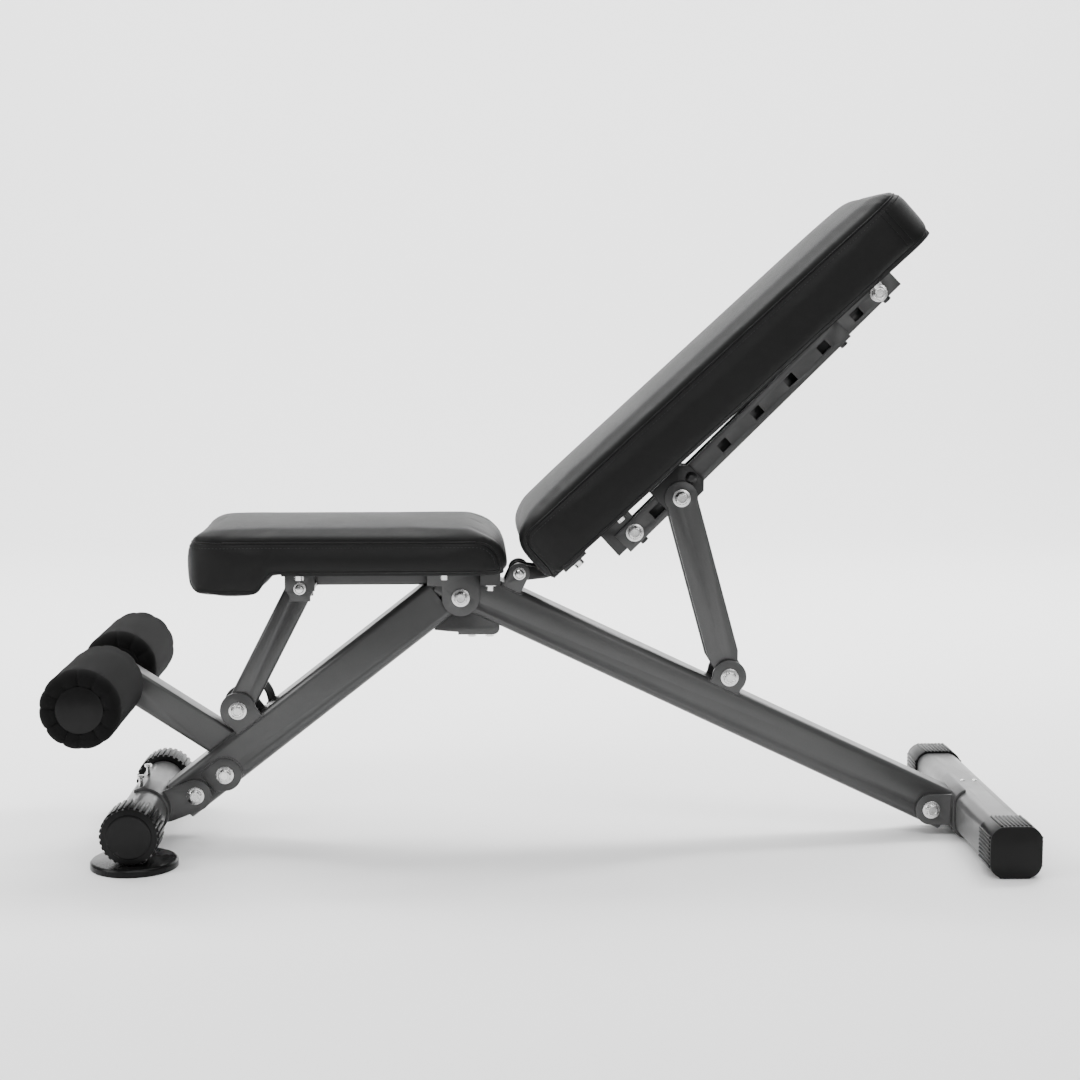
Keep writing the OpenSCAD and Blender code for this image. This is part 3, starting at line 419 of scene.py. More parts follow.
# Where a cushion lies: u runs from its hinge end, n up from its board, v across the bench
class CushionSpace:
    def __init__(self, cushionNode, boardNode):
        sums = {}
        for face in nodes[boardNode].data.polygons:
            key = tuple(round(part, 2) for part in face.normal)
            if face.normal.z < -0.2:
                sums[key] = sums.get(key, 0.0) + face.area
        down = Vector(max(sums, key=sums.get))
        self.up = -down.normalized()
        along = Vector((0, 1, 0)).cross(self.up).normalized()
        middle = sum((vertex.co for vertex in nodes[cushionNode].data.vertices), Vector())
        middle /= len(nodes[cushionNode].data.vertices)
        if (middle - hingePoint).dot(along) < 0:
            along = -along
        self.along = along
        self.across = Vector((0, 1, 0))
        self.base = min(vertex.co.dot(self.up) for vertex in nodes[boardNode].data.vertices)
        reach = [vertex.co.dot(along) for vertex in nodes[cushionNode].data.vertices]
        self.start = min(reach)
        self.length = max(reach) - self.start
        self.top = max(vertex.co.dot(self.up) for vertex in nodes[cushionNode].data.vertices) - self.base
        self.half = max(abs(vertex.co.y) for vertex in nodes[cushionNode].data.vertices)

    def point(self, u, n, v):
        return self.along * (self.start + u) + self.up * (self.base + n) + self.across * v

    def local(self, point):
        return (point.dot(self.along) - self.start, point.dot(self.up) - self.base, point.y)


def arcPoints(centre, radius, first, last, steps=10):
    rows = []
    for i in range(steps + 1):
        angle = math.radians(first + (last - first) * i / steps)
        rows.append((centre[0] + radius * math.cos(angle), centre[1] + radius * math.sin(angle)))
    return rows


def seatOutline(space, wanted, inset):
    far, drop, top = space.length - inset, -wanted["noseDrop"] + inset, space.top - inset
    rear, brow = wanted["hingeRound"] - inset, wanted["farRound"] - inset
    slope = wanted["noseDepth"]
    return (arcPoints((inset + 8 * mm, inset + 8 * mm), 8 * mm, 270, 180)
            + arcPoints((inset + rear, top - rear), rear, 180, 90)
            + arcPoints((far - brow, top - brow), brow, 90, 0)
            + arcPoints((far - 14 * mm, drop + 14 * mm), 14 * mm, 0, -90)
            + arcPoints((space.length - slope, drop + 12 * mm), 12 * mm, -90, -150)
            + arcPoints((space.length - slope - 30 * mm, inset - 14 * mm), 14 * mm, 30, 90))


def backOutline(space, wanted, inset):
    far, top = space.length - inset, space.top - inset
    low, brow = wanted["hingeRound"] - inset, wanted["farRound"] - inset
    return (arcPoints((inset + 8 * mm, inset + 8 * mm), 8 * mm, 270, 180)
            + arcPoints((inset + low, top - low), low, 180, 90)
            + arcPoints((far - brow, top - brow), brow, 90, 0)
            + arcPoints((far - 14 * mm, inset + 14 * mm), 14 * mm, 0, -90))


def planOutline(length, half, radius):
    return (arcPoints((radius, -half + radius), radius, 180, 270)
            + arcPoints((length - radius, -half + radius), radius, 270, 360)
            + arcPoints((length - radius, half - radius), radius, 0, 90)
            + arcPoints((radius, half - radius), radius, 90, 180))


def prism(name, low, high):
    work = bmesh.new()
    bottom = [work.verts.new(point) for point in low]
    top = [work.verts.new(point) for point in high]
    work.faces.new(bottom)
    work.faces.new(list(reversed(top)))
    for i in range(len(low)):
        j = (i + 1) % len(low)
        work.faces.new((bottom[i], top[i], top[j], bottom[j]))
    bmesh.ops.recalc_face_normals(work, faces=work.faces)
    mesh = bpy.data.meshes.new(name)
    work.to_mesh(mesh)
    work.free()
    return mesh


def smoothStep(low, high, value):
    t = min(max((value - low) / (high - low), 0.0), 1.0)
    return t * t * (3 - 2 * t)


# Rises steeply from an end and levels off, as a stuffed cover does
def fullness(reach):
    return 1 - (1 - min(max(reach, 0.0), 1.0)) ** 2.4


# The foam block: side outline cut by the plan outline, remeshed, rounded and crowned
def foamBlock(name, space, outline, wanted):
    shrink = wanted["shrink"] * mm
    side = outline(space, wanted, shrink)
    half = space.half - shrink
    block = looseObject(name, prism(name, [space.point(u, n, -half) for u, n in side],
                                    [space.point(u, n, half) for u, n in side]))
    plan = planOutline(space.length - 2 * shrink, half, wanted["cornerRound"] - shrink)
    tall = space.top + 0.1
    cutter = looseObject("plan", prism("plan", [space.point(u + shrink, -0.1, v) for u, v in plan],
                                       [space.point(u + shrink, tall, v) for u, v in plan]))
    cut = block.modifiers.new("plan", "BOOLEAN")
    cut.operation = "INTERSECT"
    cut.object = cutter
    grid = block.modifiers.new("grid", "REMESH")
    grid.mode = "VOXEL"
    grid.voxel_size = wanted["voxel"] * mm
    soften = block.modifiers.new("soften", "SMOOTH")
    soften.factor = 0.5
    soften.iterations = wanted["softening"]
    mesh = evaluatedMesh(block)
    dropObject(block)
    dropObject(cutter)
    crown = wanted["crown"] * mm
    for vertex in mesh.vertices:
        u, n, v = space.local(vertex.co)
        lift = smoothStep(space.top * 0.45, space.top * 0.95, n)
        across = max(0.0, 1 - (v / space.half) ** 2) ** 0.8
        ends = fullness(u / wanted["fullFrom"]) * fullness((space.length - u) / wanted["fullFrom"])
        vertex.co += space.up * (crown * lift * across * ends)
        flank = smoothStep(0.0, space.top * 0.5, n) * smoothStep(0.0, space.top * 0.4, space.top - n)
        inner = smoothStep(0.0, 0.06, u) * smoothStep(0.0, 0.06, space.length - u)
        waist = wanted["flank"] * mm * flank * inner
        vertex.co.y += math.copysign(waist, v) * smoothStep(space.half * 0.6, space.half, abs(v))
    return mesh


cloth = {"quality": 4, "mass": 0.4, "stretch": 18, "bending": 1.2, "relaxing": 8}


# Cloth under pressure fills the cover; how far a point may move is capped
def inflated(name, mesh, space, wanted):
    puffed = looseObject(name, mesh)
    start = [vertex.co.copy() for vertex in mesh.vertices]
    pinned = puffed.vertex_groups.new(name="pinned")
    for vertex in mesh.vertices:
        u, n, v = space.local(vertex.co)
        hold = 1.0 - smoothStep(0.0, 9 * mm, n) if u < space.length - 0.12 else 0.0
        if hold > 0.01:
            pinned.add([vertex.index], hold, "REPLACE")
    cover = puffed.modifiers.new("cover", "CLOTH")
    cover.settings.quality = cloth["quality"]
    cover.settings.mass = cloth["mass"]
    cover.settings.tension_stiffness = cloth["stretch"]
    cover.settings.compression_stiffness = cloth["stretch"]
    cover.settings.bending_stiffness = cloth["bending"]
    cover.settings.use_pressure = True
    cover.settings.uniform_pressure_force = wanted["pressure"]
    cover.settings.vertex_group_mass = "pinned"
    cover.settings.effector_weights.gravity = 0.0
    cover.point_cache.frame_start = 1
    cover.point_cache.frame_end = wanted["frames"]
    scene = bpy.context.scene
    for step in range(1, wanted["frames"] + 1):
        scene.frame_set(step)
    done = evaluatedMesh(puffed)
    scene.frame_set(1)
    cap = wanted["cap"] * mm
    for vertex, place in zip(done.vertices, start):
        move = vertex.co - place
        if move.length > cap:
            vertex.co = place + move * (cap / move.length)
    dropObject(puffed)
    relaxed = looseObject(name, done)
    relax = relaxed.modifiers.new("relax", "SMOOTH")
    relax.factor = 0.5
    relax.iterations = cloth["relaxing"]
    mesh = evaluatedMesh(relaxed)
    dropObject(relaxed)
    return looseObject(name, mesh)


def spacedAlong(points, gap):
    spaced = [points[0]]
    left = gap
    for first, second in zip(points, points[1:]):
        step = second - first
        length = step.length
        if length < 1e-9:
            continue
        at = left
        while at <= length:
            spaced.append(first + step * (at / length))
            at += gap
        left = at - length
    return spaced


# Finds where a ray from outside first meets the cover
def onCover(tree, aim, outward):
    start = aim + outward * 0.09
    spot, normal, index, distance = tree.ray_cast(start, -outward, 0.2)
    return (spot, normal) if spot else None


# Seam round the boxing: up from the base at the hinge end, along, and round the far end
def topSeam(space, wanted, tree, inset, gap):
    low = wanted["hingeRound"] - inset
    radius = wanted["cornerRound"]
    top = space.top - inset
    near = [(inset, n) for n in (2 * mm, 12 * mm, 24 * mm) if n < top - low]
    near += arcPoints((inset + low, top - low), low, 180, 90, 24)
    near += [(u, top) for u in (space.length * 0.25, space.length * 0.5, space.length - radius)]
    aims = [(space.point(u, n, -space.half), -space.across) for u, n in near]
    for side in (-1, 1):
        corner = []
        for i in range(1, 25):
            turn = math.radians(90 * i / 24)
            outward = space.across * (side * math.cos(turn)) + space.along * math.sin(turn)
            centre = space.point(space.length - radius, top, side * (space.half - radius))
            corner.append((centre + outward * radius, outward))
        aims += corner if side < 0 else list(reversed(corner))
    aims += [(space.point(u, n, space.half), space.across) for u, n in reversed(near)]
    return coverPath(tree, aims, gap)


# One low seam along the bottom edge of each side
def baseSeam(space, tree, outlinePoints, gap):
    aims = [(space.point(u, n, -space.half), -space.across) for u, n in outlinePoints]
    paths = [coverPath(tree, aims, gap)]
    aims = [(space.point(u, n, space.half), space.across) for u, n in outlinePoints]
    paths.append(coverPath(tree, aims, gap))
    return paths


def coverPath(tree, aims, gap):
    fine = []
    for (first, outA), (second, outB) in zip(aims, aims[1:]):
        steps = max(1, round((second - first).length / (2.5 * mm)))
        for i in range(steps):
            t = i / steps
            outward = outA.lerp(outB, t)
            if outward.length > 1e-6:
                fine.append((first.lerp(second, t), outward.normalized()))
    fine.append(aims[-1])
    spots = [onCover(tree, aim, outward) for aim, outward in fine]
    points = [spot[0] for spot in spots if spot]
    smooth = points
    for turn in range(10):
        smooth = ([smooth[0]] + [(a + b * 2 + c) / 4 for a, b, c in zip(smooth, smooth[1:], smooth[2:])]
                  + [smooth[-1]])
    return spacedAlong(smooth, gap)


# Pulls the cover in along a seam, deepest at the thread
def sinkSeams(mesh, paths, depth, spread):
    points = [point for path in paths for point in path]
    tree = KDTree(len(points))
    for i, point in enumerate(points):
        tree.insert(point, i)
    tree.balance()
    normals = [vertex.normal.copy() for vertex in mesh.vertices]
    for vertex, normal in zip(mesh.vertices, normals):
        place, index, distance = tree.find(vertex.co)
        if distance < spread * 3:
            vertex.co -= normal * (depth * math.exp(-(distance / spread) ** 2))


# A rolled edge or welt: a round tube lying on the cover along a path
def weltMesh(name, path, radius, tree, lift):
    work = bmesh.new()
    rings = []
    sides = 8
    count = len(path)
    for i, point in enumerate(path):
        ahead = (path[min(i + 1, count - 1)] - path[max(i - 1, 0)]).normalized()
        spot, normal, index, distance = tree.find_nearest(point)
        out = (normal - ahead * normal.dot(ahead)).normalized()
        side = ahead.cross(out)
        end = min(i, count - 1 - i)
        reach = radius * (0.35 if end == 0 else 1.0)
        ring = []
        for k in range(sides):
            angle = math.tau * k / sides
            ring.append(work.verts.new(spot + out * (lift + reach * math.sin(angle))
                                       + side * (reach * math.cos(angle))))
        rings.append(ring)
    for low, high in zip(rings, rings[1:]):
        for k in range(sides):
            j = (k + 1) % sides
            work.faces.new((low[k], low[j], high[j], high[k]))
    work.faces.new(list(reversed(rings[0])))
    work.faces.new(rings[-1])
    bmesh.ops.recalc_face_normals(work, faces=work.faces)
    mesh = bpy.data.meshes.new(name)
    work.to_mesh(mesh)
    work.free()
    for face in mesh.polygons:
        face.use_smooth = True
    return mesh


stitch = {"length": 3.4, "gap": 5.2, "thick": 0.42, "lift": 0.15}


def stitchStamp():
    rows = [(0.0, -0.5), (0.7, -0.42), (1.0, -0.2), (1.0, 0.2), (0.7, 0.42), (0.0, 0.5)]
    mesh = turned("stitchStamp", [(radius * stitch["thick"] * mm, height * stitch["length"] * mm)
                                  for radius, height in rows], 6)
    stamp = looseObject("stitchStamp", mesh)
    return stamp


def stitchRow(path, tree, stamp, seed):
    places = []
    for first, second in zip(path, path[1:]):
        middle = (first + second) / 2
        spot, normal, index, distance = tree.find_nearest(middle)
        ahead = (second - first).normalized()
        side = ahead.cross(normal).normalized()
        turn = Matrix((side, normal, ahead)).transposed()
        places.append((spot + normal * (stitch["lift"] * mm), turn))
    return stampMesh(places, stamp, threadFinish, 0.92, 1.05, seed)


seatWanted = {"voxel": 5.0, "shrink": 1.5, "softening": 4, "crown": 6.0, "flank": 2.0, "pressure": 3.0,
              "frames": 18, "cap": 4.0, "hingeRound": 0.046, "farRound": 0.026, "cornerRound": 0.042,
              "noseDrop": 0.027, "noseDepth": 0.096, "seamInset": 13.0, "endSeam": 0.0, "fullFrom": 0.11,
              "lowArcs": 3}
backWanted = {"voxel": 5.0, "shrink": 1.5, "softening": 4, "crown": 9.0, "flank": 2.0, "pressure": 3.0,
              "frames": 18, "cap": 4.0, "hingeRound": 0.036, "farRound": 0.028, "cornerRound": 0.046,
              "seamInset": 13.0, "endSeam": 0.040, "fullFrom": 0.15, "lowArcs": 1}


def makeCushion(name, cushionNode, boardNode, outline, wanted, stamp):
    space = CushionSpace(cushionNode, boardNode)
    mesh = foamBlock(name, space, outline, wanted)
    puffed = inflated(name, mesh, space, wanted)
    finer = puffed.modifiers.new("finer", "SUBSURF")
    finer.levels = 1
    finer.render_levels = 1
    mesh = evaluatedMesh(puffed)
    dropObject(puffed)
    tree = BVHTree.FromPolygons([vertex.co for vertex in mesh.vertices],
                                [face.vertices for face in mesh.polygons])
    inset = wanted["seamInset"] * mm
    seam = topSeam(space, wanted, tree, inset, 2 * mm)
    row = topSeam(space, wanted, tree, inset + 7 * mm, stitch["gap"] * mm)
    bottom = outline(space, wanted, 6 * mm)
    split = len(bottom) - 11 * wanted["lowArcs"]    # each arc of the outline has 11 points
    lowLine = [bottom[0]] + [point for point in reversed(bottom[split:])]
    lowSeams = baseSeam(space, tree, lowLine, 2 * mm)
    if wanted["endSeam"]:
        for back in (wanted["endSeam"], wanted["endSeam"] + 9 * mm):
            for side in (-1, 1):
                aims = [(space.point(space.length - back, n, side * space.half), space.across * side)
                        for n in (8 * mm, space.top * 0.5, space.top - inset)]
                lowSeams.append(coverPath(tree, aims, 2 * mm))
    sinkSeams(mesh, [seam], 1.6 * mm, 3.2 * mm)
    sinkSeams(mesh, [row] + lowSeams, 0.7 * mm, 2.6 * mm)
    tree = BVHTree.FromPolygons([vertex.co for vertex in mesh.vertices],
                                [face.vertices for face in mesh.polygons])
    for face in mesh.polygons:
        face.use_smooth = True
    body, slot = bodyOf[cushionNode], slotOf[cushionNode]
    cover = newPiece(name, mesh, finishes["leatherette"], body, (cushionNode,))
    welts = [weltMesh(name + "Welt", seam, 1.5 * mm, tree, 0.2 * mm)]
    welts += [weltMesh(name + "LowWelt", path, 0.8 * mm, tree, 0.0) for path in lowSeams]
    newPiece(name + "_welts", joinedMesh(name + "Welts", welts), finishes["leatherette"], body)
    for face in bpy.data.objects[name + "_welts"].data.polygons:
        face.use_smooth = True
    newPiece(name + "_stitches", stitchRow(row, tree, stamp, 11), None, body)
    print(name, "made with", len(mesh.polygons), "faces")
    return space, tree


stamp = stitchStamp()
makeCushion("seatCushion", "seat_cushion", "seat_board", seatOutline, seatWanted, stamp)
makeCushion("backCushion", "back_cushion", "back_board", backOutline, backWanted, stamp)


roller = {"pleats": 12, "crease": 2.4, "endRound": 13.0, "steps": 144}


# One foam sleeve: a straight tube with gathered, pleated ends tucked behind its discs
def makeRoller(name, node, discNode):
    low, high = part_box(node)
    centre = Vector(((low[0] + high[0]) / 2, (low[1] + high[1]) / 2, (low[2] + high[2]) / 2))
    radius = (high[0] - low[0]) / 2
    halfLength = (high[1] - low[1]) / 2 + 3 * mm
    discLow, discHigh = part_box(discNode)
    discRadius = (discHigh[0] - discLow[0]) / 2
    edge = roller["endRound"] * mm
    tuck = discRadius - 2 * mm
    half = [(tuck, halfLength - 4.5 * mm)]
    half += [(tuck + (radius - edge - tuck) * t, halfLength - 1.5 * mm + 1.5 * mm * t)
             for t in (0.3, 0.6, 1.0)]
    half += [(radius - edge + edge * math.sin(turn), halfLength - edge + edge * math.cos(turn))
             for turn in (math.radians(a) for a in range(10, 91, 8))]
    half += [(radius, halfLength - edge - step * 9 * mm) for step in range(1, 9)]
    rows = half + [(reach, -rise) for reach, rise in reversed(half)]
    draws = random.Random(5)
    sway = [draws.uniform(-0.045, 0.045) for i in range(roller["pleats"])]
    depth = [draws.uniform(0.8, 1.15) for i in range(roller["pleats"])]

    def gather(angle, reach, rise):
        pitch = math.tau / roller["pleats"]
        nearest = round(angle / pitch)
        index = nearest % roller["pleats"]
        offset = (angle - nearest * pitch - sway[index]) * reach
        fold = math.exp(-abs(offset) / (1.5 * mm)) * depth[index]
        puff = 0.5 - 0.5 * math.cos(math.tau * (angle - sway[index]) / pitch)
        end = smoothStep(halfLength - edge * 1.5, halfLength - edge * 0.5, abs(rise))
        crease = roller["crease"] * mm * fold * end
        swell = 0.7 * mm * puff * end
        soft = noise.noise(Vector((reach * math.cos(angle), reach * math.sin(angle), rise)) * 26) * 0.5 * mm
        side = math.copysign(1, rise)
        outer = smoothStep(radius - edge, radius, reach)
        return (reach + soft - crease * outer * 0.9 + swell * outer,
                rise - side * crease * (1 - 0.6 * outer) + side * swell * (1 - outer))

    mesh = turned(name, rows, roller["steps"], gather)
    work = bmesh.new()
    work.from_mesh(mesh)
    rims = [edge for edge in work.edges if edge.is_boundary]
    bmesh.ops.holes_fill(work, edges=rims, sides=0)
    bmesh.ops.recalc_face_normals(work, faces=work.faces)
    work.to_mesh(mesh)
    work.free()
    mesh.transform(Matrix.Translation(centre) @ Matrix.Rotation(math.radians(90), 4, "X"))
    shadeByAngle(mesh, 60)
    sleeve = newPiece(name, mesh, finishes["foam"], bodyOf[node], (node,))
    print(name, "made")


makeRoller("nearSleeve", "near_roller", "near_roller_discs")
makeRoller("farSleeve", "far_roller", "far_roller_discs")


def looseBoxes(node):
    work = mergedCopy(node)
    boxes = []
    seen = set()
    for vertex in work.verts:
        if vertex in seen:
            continue
        group = [vertex]
        seen.add(vertex)
        for member in group:
            for edge in member.link_edges:
                other = edge.other_vert(member)
                if other not in seen:
                    seen.add(other)
                    group.append(other)
        low = Vector([min(member.co[i] for member in group) for i in range(3)])
        high = Vector([max(member.co[i] for member in group) for i in range(3)])
        boxes.append((low, high))
    work.free()
    return boxes


bolt = {"across": 16.0, "height": 8.0, "flange": 19.5, "flangeHeight": 2.2, "shank": 10.0, "tip": 14.0,
        "pitch": 1.5, "button": 13.0}


def hexRadius(angle, across):
    turn = (angle % (math.pi / 3)) - math.pi / 6
    return across / 2 / math.cos(turn)


# Flanged hex head, standing up along -Z from z = 0, with a chamfered top and a shallow dish
def headStamp():
    height, flange = bolt["height"] * mm, bolt["flange"] * mm / 2
    across = bolt["across"] * mm
    rows = [(0.0, -0.2 * mm), (flange, -0.2 * mm), (flange, 0.6 * mm), (flange - 0.5 * mm, 1.1 * mm),
            (across / 2 + 1.0 * mm, bolt["flangeHeight"] * mm), (1.0, bolt["flangeHeight"] * mm + 0.3 * mm),
            (1.0, height - 1.1 * mm), (across / 2 * 0.97, height - 0.2 * mm), (across / 2 * 0.86, height),
            (across / 2 * 0.72, height), (across / 2 * 0.66, height - 0.5 * mm), (0.0, height - 0.6 * mm)]

    def hexed(angle, reach, rise):
        if reach >= 1.0:
            limit = hexRadius(angle, across)
            return (min(limit, across / 2 * 1.13), rise)
        return (reach, rise)

    mesh = turned("headStamp", rows, 48, hexed)
    shadeByAngle(mesh, 30)
    return looseObject("headStamp", mesh)


# Small round head with a shallow dome
def buttonStamp():
    radius, height = bolt["button"] * mm / 2, bolt["height"] * mm
    rows = [(0.0, -0.2 * mm), (radius, -0.2 * mm), (radius, height * 0.45)]
    rows += [(radius - 2.2 * mm * (1 - math.cos(turn)), height * (0.45 + 0.45 * math.sin(turn)))
             for turn in (math.radians(a) for a in (15, 30, 45, 60, 75, 90))]
    rows += [(radius * 0.4, height * 0.97), (0.0, height)]
    mesh = turned("buttonStamp", rows, 48)
    shadeByAngle(mesh, 40)
    return looseObject("buttonStamp", mesh)


# Threaded tip of a bolt, from z = 0 up
def tipStamp():
    radius, length = bolt["shank"] * mm / 2, bolt["tip"] * mm
    pitch = bolt["pitch"] * mm
    rows = [(0.0, 0.0), (radius, 0.0)]
    rise = 0.0
    while rise < length - 2 * pitch:
        rows += [(radius, rise + pitch * 0.25), (radius - 0.55 * mm, rise + pitch * 0.5),
                 (radius, rise + pitch)]
        rise += pitch
    rows += [(radius - 0.8 * mm, length - 0.2 * mm), (radius - 1.2 * mm, length), (0.0, length)]
    mesh = turned("tipStamp", rows, 24)
    shadeByAngle(mesh, 40)
    return looseObject("tipStamp", mesh)


heads = headStamp()
buttons = buttonStamp()
tips = tipStamp()


# Bolts across the bench, with heads at the near side or at both: replaces a CAD node of plain bolts
def makeBolts(node, bothSides=False):
    headPlaces, buttonPlaces, tipPlaces, shanks = [], [], [], []
    draws = random.Random(3)
    for low, high in looseBoxes(node):
        middle = (low + high) / 2
        side = math.copysign(1, middle.y) if bothSides else -1
        outer = low.y if side < 0 else high.y
        inner = high.y if side < 0 else low.y
        seat = Vector((middle.x, outer - side * bolt["height"] * mm, middle.z))
        spin = Matrix.Rotation(draws.uniform(0, math.tau), 3, "Z")
        lean = Matrix.Rotation(math.radians(90 if side < 0 else -90), 3, "X")
        isSmall = high.z - low.z < (bolt["button"] + 0.5) * mm
        (buttonPlaces if isSmall else headPlaces).append((seat, lean @ spin))
        end = Vector((middle.x, inner, middle.z))
        back = Matrix.Rotation(math.radians(-90 if side < 0 else 90), 3, "X")
        length = abs(end.y - seat.y)
        tip = bolt["tip"] * mm
        if length > 2 * tip:
            tipPlaces.append((Vector((middle.x, inner + side * tip, middle.z)), back))
            length -= tip
        radius = bolt["shank"] * mm / 2 - 0.05 * mm
        shank = turned("shank", [(0.0, 0.0), (radius, 0.0), (radius, length), (0.0, length)], 24)
        shank.transform(Matrix.Translation(seat) @ back.to_4x4())
        shanks.append(shank)
    meshes = [stampMesh(headPlaces, heads, finishes["zinc"])]
    if buttonPlaces:
        meshes.append(stampMesh(buttonPlaces, buttons, finishes["zinc"]))
    if tipPlaces:
        meshes.append(stampMesh(tipPlaces, tips, finishes["zinc"]))
    mesh = joinedMesh(node + "Bolts", meshes + shanks)
    shadeByAngle(mesh, 32)
    newPiece(node + ".turned", mesh, finishes["zinc"], bodyOf[node], (node,))


for node in ("frame_bolts", "ladder_bolts"):
    makeBolts(node)
makeBolts("carriage_bolts", bothSides=True)
print("bolts made")


weld = {"pitch": 2.6, "near": 0.9, "radius": 2.3, "flat": 0.55}


def weldStamp():
    work = bmesh.new()
    bmesh.ops.create_icosphere(work, subdivisions=2, radius=weld["radius"] * mm)
    for vertex in work.verts:
        vertex.co.z *= weld["flat"]
        vertex.co.x *= 1.25
    mesh = bpy.data.meshes.new("weldStamp")
    work.to_mesh(mesh)
    work.free()
    for face in mesh.polygons:
        face.use_smooth = True
    return looseObject("weldStamp", mesh)


beadStamp = weldStamp()


# A bead of overlapping ripples along the outline where one part meets another
def makeWeld(part, onto, seed):
    work = mergedCopy(part)
    bmesh.ops.dissolve_limit(work, angle_limit=math.radians(2.0), verts=work.verts, edges=work.edges)
    base = mergedCopy(onto)
    tree = BVHTree.FromBMesh(base)
    draws = random.Random(seed)
    places = []
    limit = weld["near"] * mm
    for edge in work.edges:
        if not edge.is_manifold or edge.calc_face_angle(0.0) < math.radians(20):
            continue
        first, second = edge.verts[0].co, edge.verts[1].co
        length = (second - first).length
        steps = max(1, round(length / (weld["pitch"] * mm)))
        for i in range(steps):
            point = first.lerp(second, (i + 0.5) / steps)
            spot, normal, index, distance = tree.find_nearest(point)
            if distance > limit:
                continue
            ahead = (second - first).normalized()
            side = normal.cross(ahead)
            if side.length < 0.3:
                continue
            side.normalize()
            turn = Matrix((side, ahead, side.cross(ahead))).transposed()
            jitter = Vector([draws.uniform(-0.2, 0.2) for axis in range(3)]) * mm
            places.append((spot + jitter, turn))
    work.free()
    base.free()
    if not places:
        print("no weld between", part, onto)
        return None
    return stampMesh(places, beadStamp, finishes[slotOf[part]], 0.8, 1.15, seed)


weldPairs = (("strut_ears", "front_leg"), ("hinge_ears", "rear_leg"), ("back_strut_ears", "rear_leg"),
             ("roller_arm", "front_leg"), ("band_loop", "front_leg"), ("seat_rail", "seat_front_bar"),
             ("seat_front_bracket", "seat_front_bar"), ("front_leg_plates", "front_leg"))
beads = [makeWeld(part, onto, 20 + i) for i, (part, onto) in enumerate(weldPairs)]
beads = joinedMesh("weldBeads", [mesh for mesh in beads if mesh])
for face in beads.polygons:
    face.use_smooth = True
newPiece("weldBeads", beads, finishes["powder_coat"], "frame")
print("welds made")


capFace = {"radius": 31.5, "rise": 1.4, "edge": 1.2, "dome": 0.7}


# Smooth, slightly domed disc set into the closed end of each ribbed front cap
def makeCapFaces():
    low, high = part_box("front_foot_caps")
    middleX, middleZ = (low[0] + high[0]) / 2, (low[2] + high[2]) / 2
    radius, rise, edge = capFace["radius"] * mm, capFace["rise"] * mm, capFace["edge"] * mm
    dome = capFace["dome"] * mm
    rows = [(0.0, -1.0 * mm), (radius, -1.0 * mm), (radius, rise - edge),
            (radius - edge * 0.3, rise - edge * 0.3), (radius - edge, rise)]
    rows += [(radius * t, rise + dome * (1 - t * t)) for t in (0.9, 0.75, 0.6, 0.45, 0.3, 0.15)]
    rows.append((0.0, rise + dome))
    meshes = []
    for side, y in ((-1, low[1]), (1, high[1])):
        face = turned("capFace", rows, 72)
        outward = Matrix.Rotation(math.radians(-90 * side), 4, "X")
        face.transform(Matrix.Translation((middleX, y, middleZ)) @ outward)
        meshes.append(face)
    mesh = joinedMesh("frontCapFaces", meshes)
    shadeByAngle(mesh, 40)
    newPiece("frontCapFaces", mesh, discFinish, bodyOf["front_foot_caps"])


makeCapFaces()
print("cap faces made")


replaced = {"seat_cushion", "back_cushion", "near_roller", "far_roller", "frame_bolts", "ladder_bolts",
            "carriage_bolts"}
widths = {"powder_coat": "plate", "foot_coat": "tube", "black_coat": "plate", "black_plastic": "plastic",
          "zinc": "fastener", "plywood": "plate"}
ownFinish = {"near_roller_discs": discFinish, "far_roller_discs": discFinish, "floor_discs": discFinish}
for node in sorted(nodes):
    if node not in replaced:
        roundedCopy(node, edges[widths[slotOf[node]]], ownFinish.get(node))
print("hard parts finished")

for stampObject in (stamp, heads, buttons, tips, beadStamp):
    dropObject(stampObject)


room = {"floor": 5.0, "sweep": 1.6, "height": 4.5, "tone": 0.93}


def paleStage():
    steps = 24
    half, bend, top = room["floor"], room["sweep"], room["height"]
    profile = [(-half, 0.0), (half - bend, 0.0)]
    profile += [(half - bend + bend * math.sin(t), bend - bend * math.cos(t))
                for t in (math.pi / 2 * i / steps for i in range(1, steps + 1))]
    profile.append((half, top))
    verts = [(x, y, z) for y, z in profile for x in (-2 * half, 2 * half)]
    faces = [(2 * i, 2 * i + 1, 2 * i + 3, 2 * i + 2) for i in range(len(profile) - 1)]
    mesh = bpy.data.meshes.new("studioFloor")
    mesh.from_pydata(verts, [], faces)
    for face in mesh.polygons:
        face.use_smooth = True
    material, start, place, shader = newFinish("paleFloor", {"Roughness": 0.9, "Specular IOR Level": 0.1})
    shade = start.node("ShaderNodeTexNoise", None, {"Vector": place, "Scale": 0.8, "Detail": 2.0})
    feed(start, shader, color=shade.mixed(grey(room["tone"] * 0.99), grey(room["tone"] * 1.01)))
    mesh.materials.append(material)
    floor = bpy.data.objects.new("studioFloor", mesh)
    bpy.context.scene.collection.objects.link(floor)


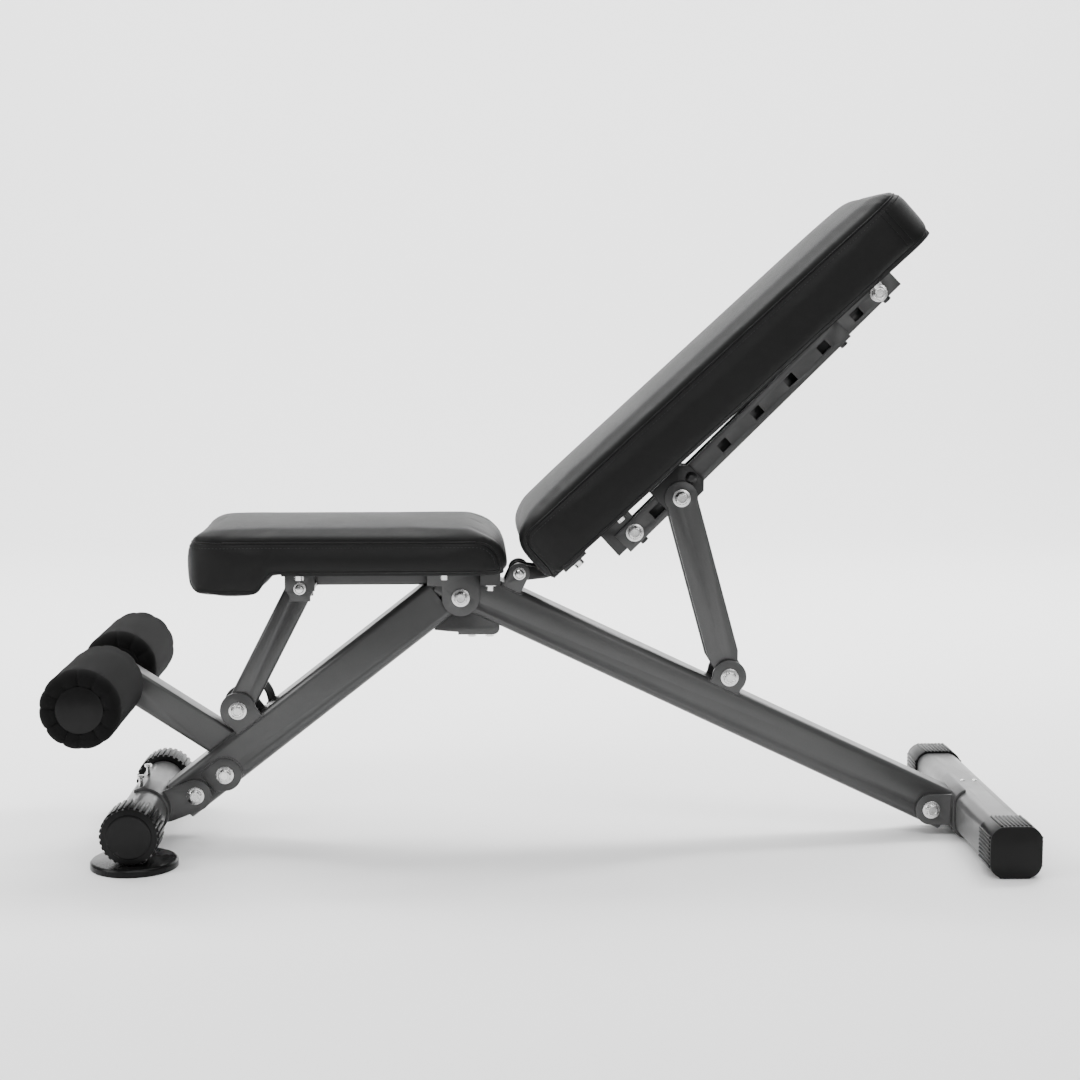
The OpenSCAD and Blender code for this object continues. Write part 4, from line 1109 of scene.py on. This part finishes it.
def softLight(name, place, aim, size, power):
    lamp = bpy.data.lights.new(name, "AREA")
    lamp.shape = "RECTANGLE"
    lamp.size, lamp.size_y = size
    lamp.energy = power
    light = bpy.data.objects.new(name, lamp)
    light.location = place
    light.rotation_euler = (Vector(aim) - Vector(place)).to_track_quat("-Z", "Y").to_euler()
    bpy.context.scene.collection.objects.link(light)


# Place, aim, size and power of each lamp
lights = {
    "overhead": ((0.1, 0.7, 3.1), (0.1, 0.0, 0.3), (3.2, 2.2), 120),
    "leftWindow": ((-3.0, -1.2, 1.9), (0.0, 0.0, 0.5), (1.8, 1.8), 70),
    "frontFill": ((1.6, -3.8, 1.6), (0.1, 0.0, 0.4), (1.6, 1.2), 22),
    "backRim": ((1.6, 3.0, 2.4), (0.3, 0.0, 0.4), (2.0, 1.0), 26),
    "backdropLeft": ((-2.4, 1.6, 3.4), (-0.8, 4.6, 0.9), (2.4, 1.2), 260),
    "backdropRight": ((2.4, 1.6, 3.4), (0.8, 4.6, 0.9), (2.4, 1.2), 260),
    "floorWash": ((0.0, -2.2, 3.2), (0.0, -0.9, 0.0), (3.0, 1.0), 60),
}
sky = {"tone": (0.93, 0.94, 0.95, 1), "strength": 0.3}

paleStage()
for name, (place, aim, size, power) in lights.items():
    softLight(name, place, aim, size, power)
world = bpy.data.worlds.new("softWorld")
world.use_nodes = True
world.node_tree.nodes["Background"].inputs["Color"].default_value = sky["tone"]
world.node_tree.nodes["Background"].inputs["Strength"].default_value = sky["strength"]
bpy.context.scene.world = world

cameraWanted = {"fromHinge": -0.07652, "side": -2.8116, "height": 0.7852, "lens": 65.0,
                "forward": (0.03786, 0.99179, -0.12216)}
lens = bpy.data.cameras.new("sideCamera")
lens.sensor_width = 36.0
lens.lens = cameraWanted["lens"]
camera = bpy.data.objects.new("sideCamera", lens)
camera.location = (hingePoint.x + cameraWanted["fromHinge"], cameraWanted["side"], cameraWanted["height"])
camera.rotation_euler = Vector(cameraWanted["forward"]).to_track_quat("-Z", "Y").to_euler()
bpy.context.scene.collection.objects.link(camera)
bpy.context.scene.camera = camera
print("stage, lights and camera set")
